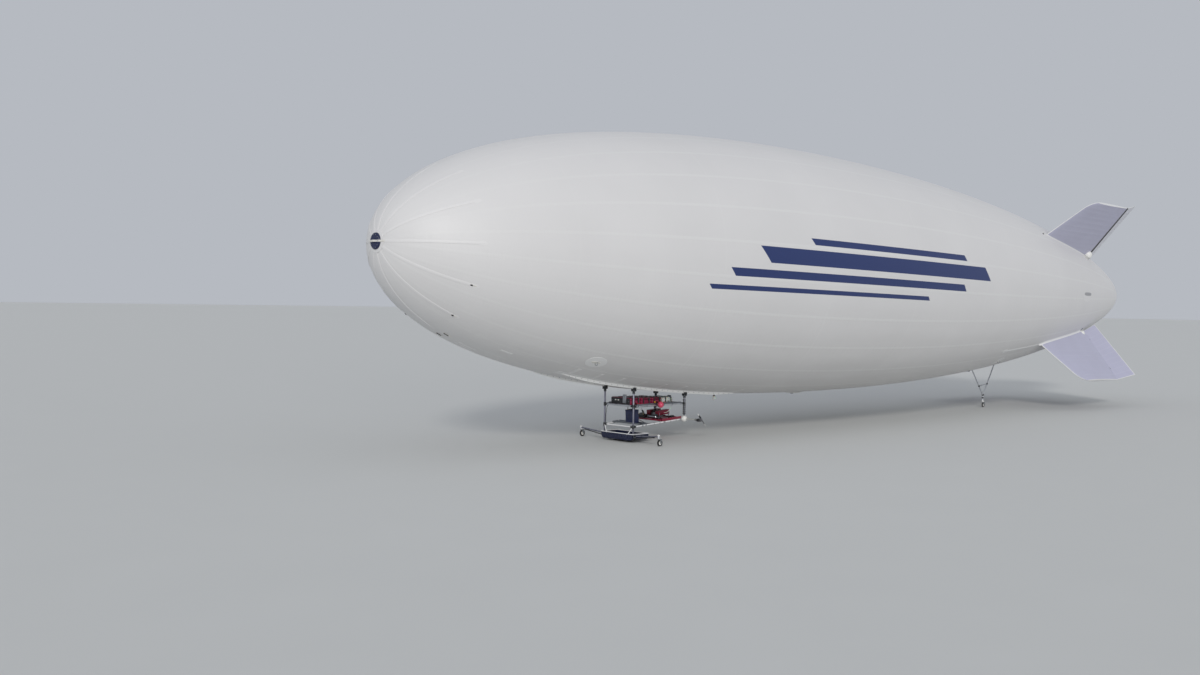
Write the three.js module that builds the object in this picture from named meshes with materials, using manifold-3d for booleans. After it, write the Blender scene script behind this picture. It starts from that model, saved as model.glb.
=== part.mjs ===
// A remotely flown airship parked on its castors, as separate named pieces.
// Millimetres. +X points to the nose, +Y to port, +Z up. The ground is z = 0.
// Stations are measured aft from the nose tip along the envelope's axis.
import * as THREE from "three";
import { mergeVertices } from "three/addons/utils/BufferGeometryUtils.js";
import Module from "manifold-3d";

const wasm = await Module();
wasm.setup();
const { degToRad, radToDeg, lerp } = THREE.MathUtils;

// Room between pieces that touch, how far a cutter runs past a face, and how far joined solids overlap.
const GAP = 0.3;
const PAST = 20;
const BITE = 2;

// Envelope: a body of revolution, tilted nose up on its gear. Its radius at a share u of its length
// is RADIUS * sqrt(4 u (1 - u) (a + b u + c u^2 + d u^3)), with a to d in FULLNESS.
const LENGTH = 21250;
const RADIUS = 2080;
const FULLNESS = [1.781, -3.037, 3.864, -2.24];
const SKIN = 10;
const PITCH = degToRad(1);
const NOSE_X = 10598;
const NOSE_Z = 2820;
const STATIONS = 36;
const AROUND = 48;
const NOSE_HOLE_R = 60;

// Nose fitting: a disc with a boss, in a ring that light battens fan out from.
const DISC = { r: 105, proud: 24, sunk: 40 };
const BOSS = { r: 24, tall: 26 };
const BATTEN = { count: 12, width: 26, thick: 8, ringWidth: 45, ringAhead: 16, ringAft: 90, end: 900 };

// Tail: four fins in an X, the lower two a little steeper, each with a slanted hinge line and a
// rudder behind it. Angles are from the top. Root and tip give stations; rootR is the distance from
// the axis at which the root's is measured.
const FIN_ANGLES = { upper_left: -46, upper_right: 46, lower_right: 137, lower_left: 223 };
const FIN_TIP_R = 2610;
const FIN_FRONT = { root: 15540, tip: 16080, rootR: 1594 };
const FIN_CORNER = { tall: 220, deep: 352 };
const FIN_THICK = { root: 120, tip: 70, rootR: 1100, edge: 0.5 };
const FIN_FOOT_R = [900, 1700];
const HINGE = { root: 18150, tip: 17760, rootR: 1143, clear: 8 };
const RUDDER = { rootR: 1200, tipGap: 6, rootSlope: 0.2, rest: degToRad(14) };
const RUDDER_CHORD = { root: 500, tip: 660 };
const RUDDER_NOSE_R = { root: 20, tip: 12 };
const RUDDER_EDGE = 0.28;
const DRIVE = { r: 80, ahead: 150, out: 110 };
const TAB = { at: [1450, 2300], reach: 60, width: 12, thick: 8, eyeR: 10, pinR: 5 };
const TAB_SLOT = { long: 60, wide: 80, room: 4, behind: 15 };

// Gondola frame: four posts under two load rails, with tubes between them at two levels.
const SIDES = { left: 1, right: -1 };
const POST_S = { front: 4330, rear: 5450 };
const POST_FOOT = { front: 95, rear: 343 };
const POST_R = 14;
const TUBE_R = 11;
const HALF_WIDTH = 310;
const LOWER_Z = { front: 238, rear: 307 };
const DECK_Z = 545;
const CLAMP = { long: 70, wide: 48, tall: 34 };
const RAIL = { front: 2900, rear: 6600, wide: 30, tall: 45, endShare: 0.4, steps: 8, rise: 200 };

// Pan under the front of the frame, with a seat for each front post and a curved stay in front of it.
const PAN = { ahead: 40, behind: 300, low: 32, high: 130, over: 28, wall: 8, corner: 60 };
const SEAT = { long: 60, wide: 46 };
const STAY = { r: 8, steps: 6 };

// Running gear: castors on two outriggers and one under the tail, each trailing its stem.
const TRACK = 840;
const WHEEL = { r: 48, wide: 28, shoulder: 6, treadHalf: 8, hubR: 18, hubHalf: 12, sides: 24 };
const TRAIL = 26;
const STEM = { r: 8, above: 6 };
const CROWN = { over: 12, thick: 8, side: 12, ends: 40 };
const CHEEK = { long: 24, thick: 5, out: 8, below: 16 };
const AXLE_R = 5;
const SLEEVE_R = 17;
const SLEEVE_Z = [118, 165];
const ARM = { r: 11, z: 105, flange: 50, flangeThick: 6 };
const TAIL_STRUT = { station: 15190, hub: 262, top: 285, legR: 12, braceR: 8, braceAt: 0.32 };
const TAIL_LEGS = [-520, 500];
const TAIL_SHOE = { long: 150, wide: 90, thick: 26, drop: 6 };
const TAIL_SLEEVE = { low: 118, high: 185, stemShort: 12 };

// Thrusters: a boom that tilts in a ball at each lower rear corner, with a pusher propeller.
const BALL = { r: 50, seat: 36 };
const BOOM = { r: 10, y: 620, inside: 28 };
const POD = { r: 26, half: 45 };
const SHAFT = { r: 4, end: 76 };
const PROPELLER = { r: 120, hubR: 15, front: 52, back: 74, rest: degToRad(43) };
const BLADE = { wide: 24, thick: 4, foot: 8, twistRoot: degToRad(38), twistTip: degToRad(14) };

const material = (color, roughness, metalness = 0) =>
  new THREE.MeshStandardMaterial({ color, roughness, metalness });
const WHITE_FABRIC = material(0xd9d9dc, 0.6);
const NAVY = material(0x1c2350, 0.6);
const FIN_FABRIC = material(0xb4b4cc, 0.6);
const TUBE_METAL = material(0xa9adb4, 0.4, 1);
const BLACK = material(0x1b1c20, 0.5);
const WHITE = material(0xe9e9e6, 0.45);
const RED = material(0xa32a48, 0.5);
const GREEN = material(0x2d8a4e, 0.4);
const GREY = material(0x6f7278, 0.5);
const RUBBER = material(0x2a2a2c, 0.85);

// A geometry becomes a closed solid, and back.
function solid(geometry) {
  const bare = geometry.clone();
  bare.deleteAttribute("normal");
  bare.deleteAttribute("uv");
  const merged = mergeVertices(bare, 1e-3);
  const index = merged.index.array;
  const kept = [];
  for (let i = 0; i < index.length; i += 3) {
    const [a, b, c] = index.slice(i, i + 3);
    if (a !== b && b !== c && c !== a) kept.push(a, b, c);
  }
  const mesh = new wasm.Mesh({
    numProp: 3,
    vertProperties: new Float32Array(merged.attributes.position.array),
    triVerts: new Uint32Array(kept),
  });
  mesh.merge();
  return new wasm.Manifold(mesh);
}

function geometryOf(body) {
  const mesh = body.getMesh();
  const geometry = new THREE.BufferGeometry();
  geometry.setAttribute("position", new THREE.BufferAttribute(new Float32Array(mesh.vertProperties), 3));
  geometry.setIndex(new THREE.BufferAttribute(new Uint32Array(mesh.triVerts), 1));
  return geometry;
}

const join = (...bodies) => bodies.reduce((sum, body) => sum.add(body));

// Simple shapes at a place, in the frame of the group that they go into.
function box(size, centre) {
  const geometry = new THREE.BoxGeometry(...size);
  geometry.translate(...centre);
  return solid(geometry);
}

function ball(radius, centre, rings = 10) {
  const geometry = new THREE.SphereGeometry(radius, rings * 2, rings);
  geometry.translate(...centre);
  return solid(geometry);
}

// A round bar from one point to another; its radius is measured to its corners.
function bar(from, to, radius, sides = 10) {
  const a = new THREE.Vector3(...from);
  const b = new THREE.Vector3(...to);
  const along = b.clone().sub(a);
  const geometry = new THREE.CylinderGeometry(radius, radius, along.length(), sides);
  const turn = new THREE.Quaternion().setFromUnitVectors(new THREE.Vector3(0, 1, 0), along.normalize());
  geometry.applyQuaternion(turn);
  geometry.translate(...a.add(b).multiplyScalar(0.5).toArray());
  return solid(geometry);
}

// A hole's cutter for a round pin: its flats clear the pin's corners by the gap.
const bore = (from, to, pinRadius, sides = 12) =>
  bar(from, to, (pinRadius + GAP) / Math.cos(Math.PI / sides), sides);

function outlineOf(points) {
  const outline = new THREE.Shape();
  points.forEach(([x, y], i) => (i === 0 ? outline.moveTo(x, y) : outline.lineTo(x, y)));
  outline.closePath();
  return outline;
}

const extruded = (outline, depth, steps = 1) =>
  new THREE.ExtrudeGeometry(outline, { depth, steps, bevelEnabled: false, curveSegments: 4 });

function bentTube(points, radius, steps, sides = 8) {
  const curve = new THREE.CatmullRomCurve3(points.map((p) => new THREE.Vector3(...p)));
  const corners = [];
  for (let i = 0; i < sides; i += 1) {
    const turn = (2 * Math.PI * i) / sides;
    corners.push([radius * Math.cos(turn), radius * Math.sin(turn)]);
  }
  return solid(new THREE.ExtrudeGeometry(outlineOf(corners), { steps, extrudePath: curve }));
}

// Envelope radius at a share u of its length, and at a station.
function shape(u) {
  const [a, b, c, d] = FULLNESS;
  return RADIUS * Math.sqrt(Math.max(0, 4 * u * (1 - u) * (a + b * u + c * u * u + d * u * u * u)));
}
const radiusAt = (station) => shape(station / LENGTH);

// The envelope's side line from the nose hole to the tail, moved out by some millimetres.
function sideLine(offset) {
  const points = [];
  const first = NOSE_HOLE_R ** 2 / (4 * FULLNESS[0] * RADIUS ** 2);
  const step = 1e-4;
  for (let i = 0; i < STATIONS; i += 1) {
    const even = (1 - Math.cos((Math.PI * i) / STATIONS)) / 2;
    const u = lerp(first, 1, even);
    const [u0, u1] = [Math.max(u - step, 0), Math.min(u + step, 1)];
    const slope = new THREE.Vector2((u1 - u0) * LENGTH, shape(u1) - shape(u0)).normalize();
    points.push(new THREE.Vector2(shape(u) + offset * slope.x, u * LENGTH - offset * slope.y));
  }
  points.push(new THREE.Vector2(0, LENGTH + offset));
  return points;
}

// Turns a side line (radius, station) about the axis, in the hull's frame, where x is minus the station.
function turned(points) {
  const geometry = new THREE.LatheGeometry(points, AROUND);
  geometry.applyMatrix4(new THREE.Matrix4().makeBasis(
    new THREE.Vector3(0, 0, 1), new THREE.Vector3(-1, 0, 0), new THREE.Vector3(0, -1, 0)));
  return geometry;
}

const airship = new THREE.Group();
const hull = new THREE.Group();
hull.position.set(NOSE_X, 0, NOSE_Z);
hull.rotation.y = -PITCH;
airship.add(hull);
hull.updateMatrixWorld(true);

function piece(parent, name, body, look) {
  const mesh = new THREE.Mesh(geometryOf(body), look);
  mesh.name = name;
  parent.add(mesh);
  return mesh;
}

// The envelope's outside as a full body, grown by some millimetres, to fit what rests on it.
const grown = (offset) => turned([new THREE.Vector2(0, -offset), ...sideLine(offset)]);
const hullFit = solid(grown(GAP));
const hullFitLevel = solid(grown(GAP).applyMatrix4(hull.matrixWorld));

// In the level frame: x of a station, and the height of the envelope's underside there.
const X = (station) => NOSE_X - station;
const belly = (station, y = 0) =>
  NOSE_Z - station * Math.sin(PITCH) - Math.sqrt(radiusAt(station) ** 2 - y * y);

function makeEnvelope() {
  const inner = sideLine(-SKIN).reverse();
  piece(hull, "envelope", solid(turned([...inner, ...sideLine(0)])), WHITE_FABRIC);
}

function makeNose() {
  const plate = bar([-DISC.sunk, 0, 0], [DISC.proud, 0, 0], DISC.r, 32);
  const boss = bar([DISC.proud - BITE, 0, 0], [DISC.proud + BOSS.tall, 0, 0], BOSS.r, 16);
  piece(hull, "nose_disc", join(plate, boss).subtract(hullFit), NAVY);

  const hole = bar([-BATTEN.ringAft - PAST, 0, 0], [BATTEN.ringAhead + PAST, 0, 0], DISC.r + 2, 32);
  const ringR = DISC.r + BATTEN.ringWidth;
  let battens = bar([-BATTEN.ringAft, 0, 0], [BATTEN.ringAhead, 0, 0], ringR, 48).subtract(hole);
  for (let i = 0; i < BATTEN.count; i += 1) {
    const slab = new THREE.BoxGeometry(BATTEN.end, BATTEN.width, RADIUS);
    slab.translate(-BATTEN.end / 2, 0, DISC.r + BATTEN.ringWidth / 4 + RADIUS / 2);
    slab.rotateX((2 * Math.PI * i) / BATTEN.count);
    battens = battens.add(solid(slab));
  }
  const layer = solid(grown(BATTEN.thick)).subtract(hullFit);
  piece(hull, "nose_battens", battens.intersect(layer), WHITE);
}

// Half thickness of a smooth wing section, as a share of its full thickness, at a share c of its chord.
const lens = (c) =>
  5 * (0.2969 * Math.sqrt(c) - 0.126 * c - 0.3516 * c ** 2 + 0.2843 * c ** 3 - 0.1036 * c ** 4);

// Station of the hinge line at a distance r from the axis.
const hingeAt = (r) => lerp(HINGE.root, HINGE.tip, (r - HINGE.rootR) / (FIN_TIP_R - HINGE.rootR));
const HINGE_SLANT = Math.atan2(HINGE.root - HINGE.tip, FIN_TIP_R - HINGE.rootR);

// Moves a body made round the origin to the hinge line, with its z along that line.
const atHinge = (body, r) => body.rotate([0, radToDeg(HINGE_SLANT), 0]).translate([-hingeAt(r), 0, r]);

// Station of a fin's front edge: straight, then rounded into the tip.
function frontEdge(r) {
  const share = (r - FIN_FRONT.rootR) / (FIN_TIP_R - FIN_FRONT.rootR);
  const straight = lerp(FIN_FRONT.root, FIN_FRONT.tip, share);
  const over = Math.max(0, r - (FIN_TIP_R - FIN_CORNER.tall)) / FIN_CORNER.tall;
  return straight + FIN_CORNER.deep * (1 - Math.sqrt(1 - Math.min(over, 1) ** 2));
}

// A fin has the front 84 % of a wing section, carried out along its span.
function makeFin(parent, name) {
  const cut = 0.84;
  const shares = [0, 0.03, 0.1, 0.25, 0.45, 0.65, 0.85, 1];
  const upper = shares.map((c) => [c, lens(c * cut)]);
  const lower = shares.slice(1).reverse().map((c) => [c, -lens(c * cut)]);
  const cornerLevels = [1, 0.7, 0.4, 0.15, 0].map((share) => FIN_TIP_R - FIN_CORNER.tall * share);
  const levels = [...FIN_FOOT_R, ...cornerLevels];
  const geometry = extruded(outlineOf([...upper, ...lower]), levels.length - 1, levels.length - 1);
  const place = geometry.attributes.position;
  for (let i = 0; i < place.count; i += 1) {
    const r = levels[Math.round(place.getZ(i))];
    const out = Math.max(0, (r - FIN_THICK.rootR) / (FIN_TIP_R - FIN_THICK.rootR));
    const atTip = r > FIN_TIP_R - 1;
    const thick = lerp(FIN_THICK.root, FIN_THICK.tip, out) * (atTip ? FIN_THICK.edge : 1);
    const back = hingeAt(r) - RUDDER_NOSE_R.root - HINGE.clear;
    place.setXYZ(i, -lerp(frontEdge(r), back, place.getX(i)), -place.getY(i) * thick, r);
  }
  const drive = ball(DRIVE.r, [DRIVE.ahead - HINGE.root, 0, HINGE.rootR + DRIVE.out], 8);
  const hullHere = hullFit.rotate([-FIN_ANGLES[name], 0, 0]);
  let fin = join(solid(geometry), drive).subtract(hullHere);
  for (const r of TAB.at) {
    const half = TAB.thick / 2;
    const strip = box([TAB.reach, TAB.width, TAB.thick], [TAB.reach / 2, 0, 0]);
    const eye = bar([0, 0, -half], [0, 0, half], TAB.eyeR, 16);
    const tab = join(strip, eye).subtract(bore([0, 0, -TAB.thick], [0, 0, TAB.thick], TAB.pinR));
    fin = fin.add(atHinge(tab, r));
  }
  piece(parent, `fin_${name}`, fin, FIN_FABRIC);
}

// A rudder is made round its own hinge line (z along it, x forward), then set at its parked angle.
// In its section, points ahead of the hinge are in nose radii and those behind in shares of the chord.
function makeRudder(parent, name) {
  const side = [0.06, 0.35, 0.7, 1].map((c) => [c, lerp(1, RUDDER_EDGE, c)]);
  const section = [
    [-1, 0], [-0.7, 0.7], [0, 1], ...side,
    ...side.slice().reverse().map(([c, h]) => [c, -h]), [0, -1], [-0.7, -0.7],
  ];
  const tipR = FIN_TIP_R - RUDDER.tipGap;
  const geometry = extruded(outlineOf(section), 1);
  const place = geometry.attributes.position;
  for (let i = 0; i < place.count; i += 1) {
    const t = place.getZ(i);
    const c = place.getX(i);
    const nose = lerp(RUDDER_NOSE_R.root, RUDDER_NOSE_R.tip, t);
    const aft = c <= 0 ? c * nose : c * lerp(RUDDER_CHORD.root, RUDDER_CHORD.tip, t);
    const r = lerp(RUDDER.rootR, tipR, t) - RUDDER.rootSlope * Math.max(aft, 0) * (1 - t);
    place.setXYZ(i, -(hingeAt(r) + aft), -place.getY(i) * nose, r);
  }
  const foot = new THREE.Vector3(-hingeAt(RUDDER.rootR), 0, RUDDER.rootR);
  geometry.translate(...foot.clone().negate().toArray());
  geometry.rotateY(-HINGE_SLANT);
  let rudder = solid(geometry);
  for (const r of TAB.at) {
    const up = (r - RUDDER.rootR) / Math.cos(HINGE_SLANT);
    const slotCentre = [TAB_SLOT.long / 2 - TAB_SLOT.behind, 0, up];
    const slot = box([TAB_SLOT.long, TAB_SLOT.wide, TAB.thick + 2 * TAB_SLOT.room], slotCentre);
    const pin = bar([0, 0, up - TAB.thick], [0, 0, up + TAB.thick], TAB.pinR, 12);
    rudder = rudder.subtract(slot).add(pin);
  }
  const mesh = piece(parent, `rudder_${name}`, rudder, FIN_FABRIC);
  mesh.position.copy(foot);
  mesh.rotation.y = HINGE_SLANT;
  mesh.rotateZ(name.endsWith("left") ? RUDDER.rest : -RUDDER.rest);
}

function makeTail() {
  for (const [name, angle] of Object.entries(FIN_ANGLES)) {
    const quarter = new THREE.Group();
    quarter.rotation.x = degToRad(angle);
    hull.add(quarter);
    makeFin(quarter, name);
    makeRudder(quarter, name);
  }
}

// A load rail's underside runs straight between a few stations, and is shallower at its two ends.
const railStation = (i) => lerp(RAIL.front, RAIL.rear, i / RAIL.steps);
const railLow = (i) => {
  const share = i === 0 || i === RAIL.steps ? RAIL.endShare : 1;
  return belly(railStation(i), HALF_WIDTH) - RAIL.tall * share;
};
function railUnder(station) {
  const place = ((station - RAIL.front) / (RAIL.rear - RAIL.front)) * RAIL.steps;
  const i = Math.floor(place);
  return lerp(railLow(i), railLow(i + 1), place - i);
}

// A white rail along the belly on each side, which the gondola's posts clamp to.
function makeRails() {
  const profile = [];
  for (let i = 0; i <= RAIL.steps; i += 1) profile.push([X(railStation(i)), railLow(i)]);
  for (const station of [RAIL.rear, RAIL.front]) profile.push([X(station), belly(station) + RAIL.rise]);
  for (const [side, sign] of Object.entries(SIDES)) {
    const slab = extruded(outlineOf(profile), RAIL.wide);
    slab.rotateX(Math.PI / 2);
    slab.translate(0, sign * HALF_WIDTH + RAIL.wide / 2, 0);
    piece(airship, `load_rail_${side}`, solid(slab).subtract(hullFitLevel), WHITE);
  }
}

// Four posts, with a clamp against the load rail on top of each.
function makePosts() {
  for (const [end, station] of Object.entries(POST_S)) {
    const ends = [station - CLAMP.long / 2, station, station + CLAMP.long / 2];
    const top = Math.min(...ends.map(railUnder)) - GAP;
    for (const [side, sign] of Object.entries(SIDES)) {
      const y = sign * HALF_WIDTH;
      const post = bar([X(station), y, POST_FOOT[end]], [X(station), y, top - CLAMP.tall / 2], POST_R);
      const clamp = box([CLAMP.long, CLAMP.wide, CLAMP.tall], [X(station), y, top - CLAMP.tall / 2]);
      piece(airship, `${end}_post_${side}`, join(post, clamp), TUBE_METAL);
    }
  }
}

// Height of the lower side rails at a station: they climb towards the rear.
const POST_SPAN = POST_S.rear - POST_S.front;
const lowerRail = (station) => lerp(LOWER_Z.front, LOWER_Z.rear, (station - POST_S.front) / POST_SPAN);

// Side rails and cross tubes butt against the posts, and against the corner balls at the lower rear.
function makeFrameTubes() {
  const atPost = POST_R + GAP;
  const levels = [
    ["lower", lowerRail, BALL.seat],
    ["deck", () => DECK_Z, atPost],
  ];
  for (const [side, sign] of Object.entries(SIDES)) {
    const y = sign * HALF_WIDTH;
    for (const [level, height, rearInset] of levels) {
      const [a, b] = [POST_S.front + atPost, POST_S.rear - rearInset];
      const rail = bar([X(a), y, height(a)], [X(b), y, height(b)], TUBE_R);
      piece(airship, `${level}_rail_${side}`, rail, TUBE_METAL);
    }
  }
  const crossTubes = [
    ["front_lower_tube", POST_S.front, LOWER_Z.front, atPost],
    ["front_deck_tube", POST_S.front, DECK_Z, atPost],
    ["rear_lower_tube", POST_S.rear, LOWER_Z.rear, BALL.seat],
    ["rear_deck_tube", POST_S.rear, DECK_Z, atPost],
  ];
  for (const [name, station, z, inset] of crossTubes) {
    const half = HALF_WIDTH - inset;
    piece(airship, name, bar([X(station), -half, z], [X(station), half, z], TUBE_R), TUBE_METAL);
  }
}

// A trough with round lower edges across the ship, from x on by a length.
function trough(half, low, high, corner, length, x) {
  const outline = new THREE.Shape();
  outline.moveTo(-half, high);
  outline.lineTo(-half, low + corner);
  outline.quadraticCurveTo(-half, low, -half + corner, low);
  outline.lineTo(half - corner, low);
  outline.quadraticCurveTo(half, low, half, low + corner);
  outline.lineTo(half, high);
  outline.closePath();
  const slab = extruded(outline, length);
  slab.applyMatrix4(new THREE.Matrix4().makeBasis(
    new THREE.Vector3(0, 1, 0), new THREE.Vector3(0, 0, 1), new THREE.Vector3(1, 0, 0)));
  slab.translate(x, 0, 0);
  return solid(slab);
}

function makePan() {
  const { wall, low, high, corner } = PAN;
  const rear = X(POST_S.front + PAN.behind);
  const front = X(POST_S.front - PAN.ahead);
  const half = HALF_WIDTH + PAN.over;
  const outside = trough(half, low, high, corner, front - rear, rear);
  const hollow = front - rear - 2 * wall;
  const inside = trough(half - wall, low + wall, high + PAST, corner - wall, hollow, rear + wall);
  let pan = outside.subtract(inside);
  const x = X(POST_S.front);
  const foot = POST_FOOT.front - GAP;
  const seatFoot = low + BITE;
  for (const sign of Object.values(SIDES)) {
    const y = sign * HALF_WIDTH;
    const seat = box([SEAT.long, SEAT.wide, foot - seatFoot], [x, y - sign, (foot + seatFoot) / 2]);
    const stay = bentTube([
      [x, y - sign * 4, LOWER_Z.front - 12],
      [x + 14, y - sign * 40, LOWER_Z.front - 60],
      [front - wall / 2, y - sign * 92, high - 10],
    ], STAY.r, STAY.steps);
    const post = bar([x, y, foot], [x, y, foot + LOWER_Z.front], POST_R + GAP);
    pan = pan.add(seat).add(stay).subtract(post);
  }
  piece(airship, "front_pan", pan, BLACK);
}

// A deck sheet on the side rails, with a square pad below it and a row of cases on top.
function makeDeck() {
  const rest = DECK_Z + TUBE_R + GAP;
  const thick = 6;
  const centre = X((POST_S.front + POST_S.rear) / 2);
  const sheet = box([POST_SPAN - 60, 2 * HALF_WIDTH + 10, thick], [centre, 0, rest + thick / 2]);
  const pad = { side: 260, thick: 9, below: 8 };
  const padBox = box([pad.side, pad.side, pad.thick], [centre, 0, rest - pad.below + pad.thick / 2]);
  piece(airship, "deck", join(sheet, padBox), GREY);
  const cases = [
    { name: "battery_front", station: 4470, size: [210, 420, 96], look: RED },
    { name: "battery_middle", station: 4700, size: [210, 420, 92], look: RED },
    { name: "battery_rear", station: 4930, size: [200, 420, 88], look: RED },
    { name: "fuel_tank", station: 5230, size: [230, 330, 78], look: WHITE },
  ];
  for (const { name, station, size, look } of cases) {
    piece(airship, name, box(size, [X(station), 0, rest + thick + GAP + size[2] / 2]), look);
  }
}

// A tray and a shelf across the sloping lower rails, with the engine and the control box on them.
function makeLowerLoad() {
  const slope = Math.atan2(LOWER_Z.rear - LOWER_Z.front, POST_SPAN);
  const onRails = (body, station) => body.rotate([0, radToDeg(slope), 0])
    .translate([X(station), 0, lowerRail(station) + TUBE_R / Math.cos(slope) + GAP]);
  const plate = { across: 2 * HALF_WIDTH + 8, thick: 8 };
  const loads = [
    { plate: "engine_tray", along: 420, station: 5170, plateLook: RED,
      load: "engine", size: [260, 240, 150], y: 0, look: GREY },
    { plate: "control_shelf", along: 130, station: 4560, plateLook: GREY,
      load: "control_box", size: [120, 170, 200], y: 60, look: NAVY },
  ];
  for (const row of loads) {
    const sheet = box([row.along, plate.across, plate.thick], [0, 0, plate.thick / 2]);
    piece(airship, row.plate, onRails(sheet, row.station), row.plateLook);
    const block = box(row.size, [0, row.y, plate.thick + GAP + row.size[2] / 2]);
    piece(airship, row.load, onRails(block, row.station), row.look);
  }
}

// A ball lamp on each deck rail, and one on a short stem under the belly.
function makeLamps() {
  const side = { station: 4850, r: 48, out: 52, up: 10, foot: [30, 8, 24] };
  for (const [name, sign] of Object.entries(SIDES)) {
    const rest = HALF_WIDTH + TUBE_R + GAP;
    const globe = ball(side.r, [X(side.station), sign * (rest + side.out), DECK_Z + side.up], 8);
    const foot = box(side.foot, [X(side.station), sign * (rest + side.foot[1] / 2), DECK_Z]);
    piece(airship, `side_lamp_${name}`, join(globe, foot), name === "left" ? RED : GREEN);
  }
  const under = { station: 6500, r: 32, below: 85, stemR: 14 };
  const x = X(under.station);
  const skin = belly(under.station);
  const stem = bar([x, 0, skin - under.below + under.r / 2], [x, 0, skin + PAST], under.stemR);
  const globe = ball(under.r, [x, 0, skin - under.below], 6);
  piece(airship, "belly_lamp", join(stem, globe).subtract(hullFitLevel), WHITE);
}

// A swivelling fork under a sleeve, its wheel a little behind the stem.
function makeCastor(name, x, y, stemTop) {
  const wheelX = x - TRAIL;
  const crownZ = 2 * WHEEL.r + CROWN.over;
  const stem = bar([x, y, crownZ], [x, y, stemTop], STEM.r, 12);
  const crownSize = [TRAIL + CROWN.ends, WHEEL.wide + 2 * CROWN.side, CROWN.thick];
  let fork = join(stem, box(crownSize, [(x + wheelX) / 2, y, crownZ]));
  const cheekLow = WHEEL.r - CHEEK.below;
  for (const sign of Object.values(SIDES)) {
    const cheekY = y + sign * (WHEEL.wide / 2 + CHEEK.out);
    const cheekSize = [CHEEK.long, CHEEK.thick, crownZ - cheekLow];
    fork = fork.add(box(cheekSize, [wheelX, cheekY, (crownZ + cheekLow) / 2]));
  }
  const reach = WHEEL.wide / 2 + CHEEK.out;
  fork = fork.add(bar([wheelX, y - reach, WHEEL.r], [wheelX, y + reach, WHEEL.r], AXLE_R, 12));
  piece(airship, `${name}_fork`, fork, GREY);

  const half = WHEEL.wide / 2;
  const hole = (AXLE_R + GAP) / Math.cos(Math.PI / WHEEL.sides);
  const section = [
    [hole, WHEEL.hubHalf], [hole, -WHEEL.hubHalf], [WHEEL.hubR, -WHEEL.hubHalf],
    [WHEEL.r - WHEEL.shoulder, -half], [WHEEL.r, -WHEEL.treadHalf], [WHEEL.r, WHEEL.treadHalf],
    [WHEEL.r - WHEEL.shoulder, half], [WHEEL.hubR, WHEEL.hubHalf], [hole, WHEEL.hubHalf],
  ];
  const wheel = new THREE.LatheGeometry(section.map(([r, h]) => new THREE.Vector2(r, h)), WHEEL.sides);
  wheel.translate(wheelX, y, WHEEL.r);
  piece(airship, `${name}_wheel`, solid(wheel), RUBBER);
}

// An arm from the pan's side out to a sleeve that holds the castor's stem, on each side.
function makeOutriggers() {
  const x = X(POST_S.front);
  const [low, high] = SLEEVE_Z;
  for (const [side, sign] of Object.entries(SIDES)) {
    const y = sign * TRACK;
    const start = sign * (HALF_WIDTH + PAN.over + GAP + ARM.flangeThick / 2);
    const sleeve = bar([x, y, low], [x, y, high], SLEEVE_R, 16)
      .subtract(bore([x, y, low - PAST], [x, y, high + PAST], STEM.r));
    const arm = bar([x, start, ARM.z], [x, y - sign * (SLEEVE_R - 4), (low + high) / 2], ARM.r);
    const flange = box([ARM.flange, ARM.flangeThick, ARM.flange], [x, start, ARM.z]);
    piece(airship, `outrigger_${side}`, join(arm, flange, sleeve), TUBE_METAL);
    makeCastor(`castor_${side}`, x, y, high + STEM.above);
  }
}

// A V of two tubes in the ship's plane, with a brace between them, over the tail castor's sleeve.
function makeTailGear() {
  const { station, hub, top } = TAIL_STRUT;
  const x = X(station);
  let strut = bar([x, 0, TAIL_SLEEVE.low], [x, 0, top], SLEEVE_R, 16)
    .subtract(bore([x, 0, TAIL_SLEEVE.low - PAST], [x, 0, TAIL_SLEEVE.high], STEM.r));
  const braceEnds = [];
  for (const offset of TAIL_LEGS) {
    const leg = station + offset;
    const foot = [x - Math.sign(offset) * 6, 0, hub];
    const head = [X(leg), 0, belly(leg) + PAST];
    const shoeSize = [TAIL_SHOE.long, TAIL_SHOE.wide, TAIL_SHOE.thick];
    const shoe = box(shoeSize, [X(leg), 0, belly(leg) - TAIL_SHOE.drop]);
    strut = join(strut, bar(foot, head, TAIL_STRUT.legR), shoe);
    braceEnds.push([0, 1, 2].map((axis) => lerp(foot[axis], head[axis], TAIL_STRUT.braceAt)));
  }
  strut = strut.add(bar(...braceEnds, TAIL_STRUT.braceR));
  piece(airship, "tail_strut", strut.subtract(hullFitLevel), TUBE_METAL);
  makeCastor("castor_tail", x, 0, TAIL_SLEEVE.high - TAIL_SLEEVE.stemShort + STEM.above);
}

// The ball at a lower rear corner: sockets for the post, the side rail, the cross tube and the boom.
function makeCornerBall(side, sign) {
  const [x, y, z] = [X(POST_S.rear), sign * HALF_WIDTH, LOWER_Z.rear];
  const reach = BALL.r + PAST;
  const railFrom = POST_S.rear - 4 * BALL.r;
  const railTo = POST_S.rear - BALL.seat + GAP;
  const bearing = ball(BALL.r, [x, y, z])
    .subtract(bar([x, y, z + BALL.seat - GAP], [x, y, z + reach], POST_R + GAP))
    .subtract(bar([X(railFrom), y, lowerRail(railFrom)], [X(railTo), y, lowerRail(railTo)], TUBE_R + GAP))
    .subtract(bar([x, y - sign * (BALL.seat - GAP), z], [x, y - sign * reach, z], TUBE_R + GAP))
    .subtract(bore([x, y - sign * BOOM.inside, z], [x, y + sign * reach, z], BOOM.r));
  piece(airship, `thruster_bearing_${side}`, bearing, WHITE);
}

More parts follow.
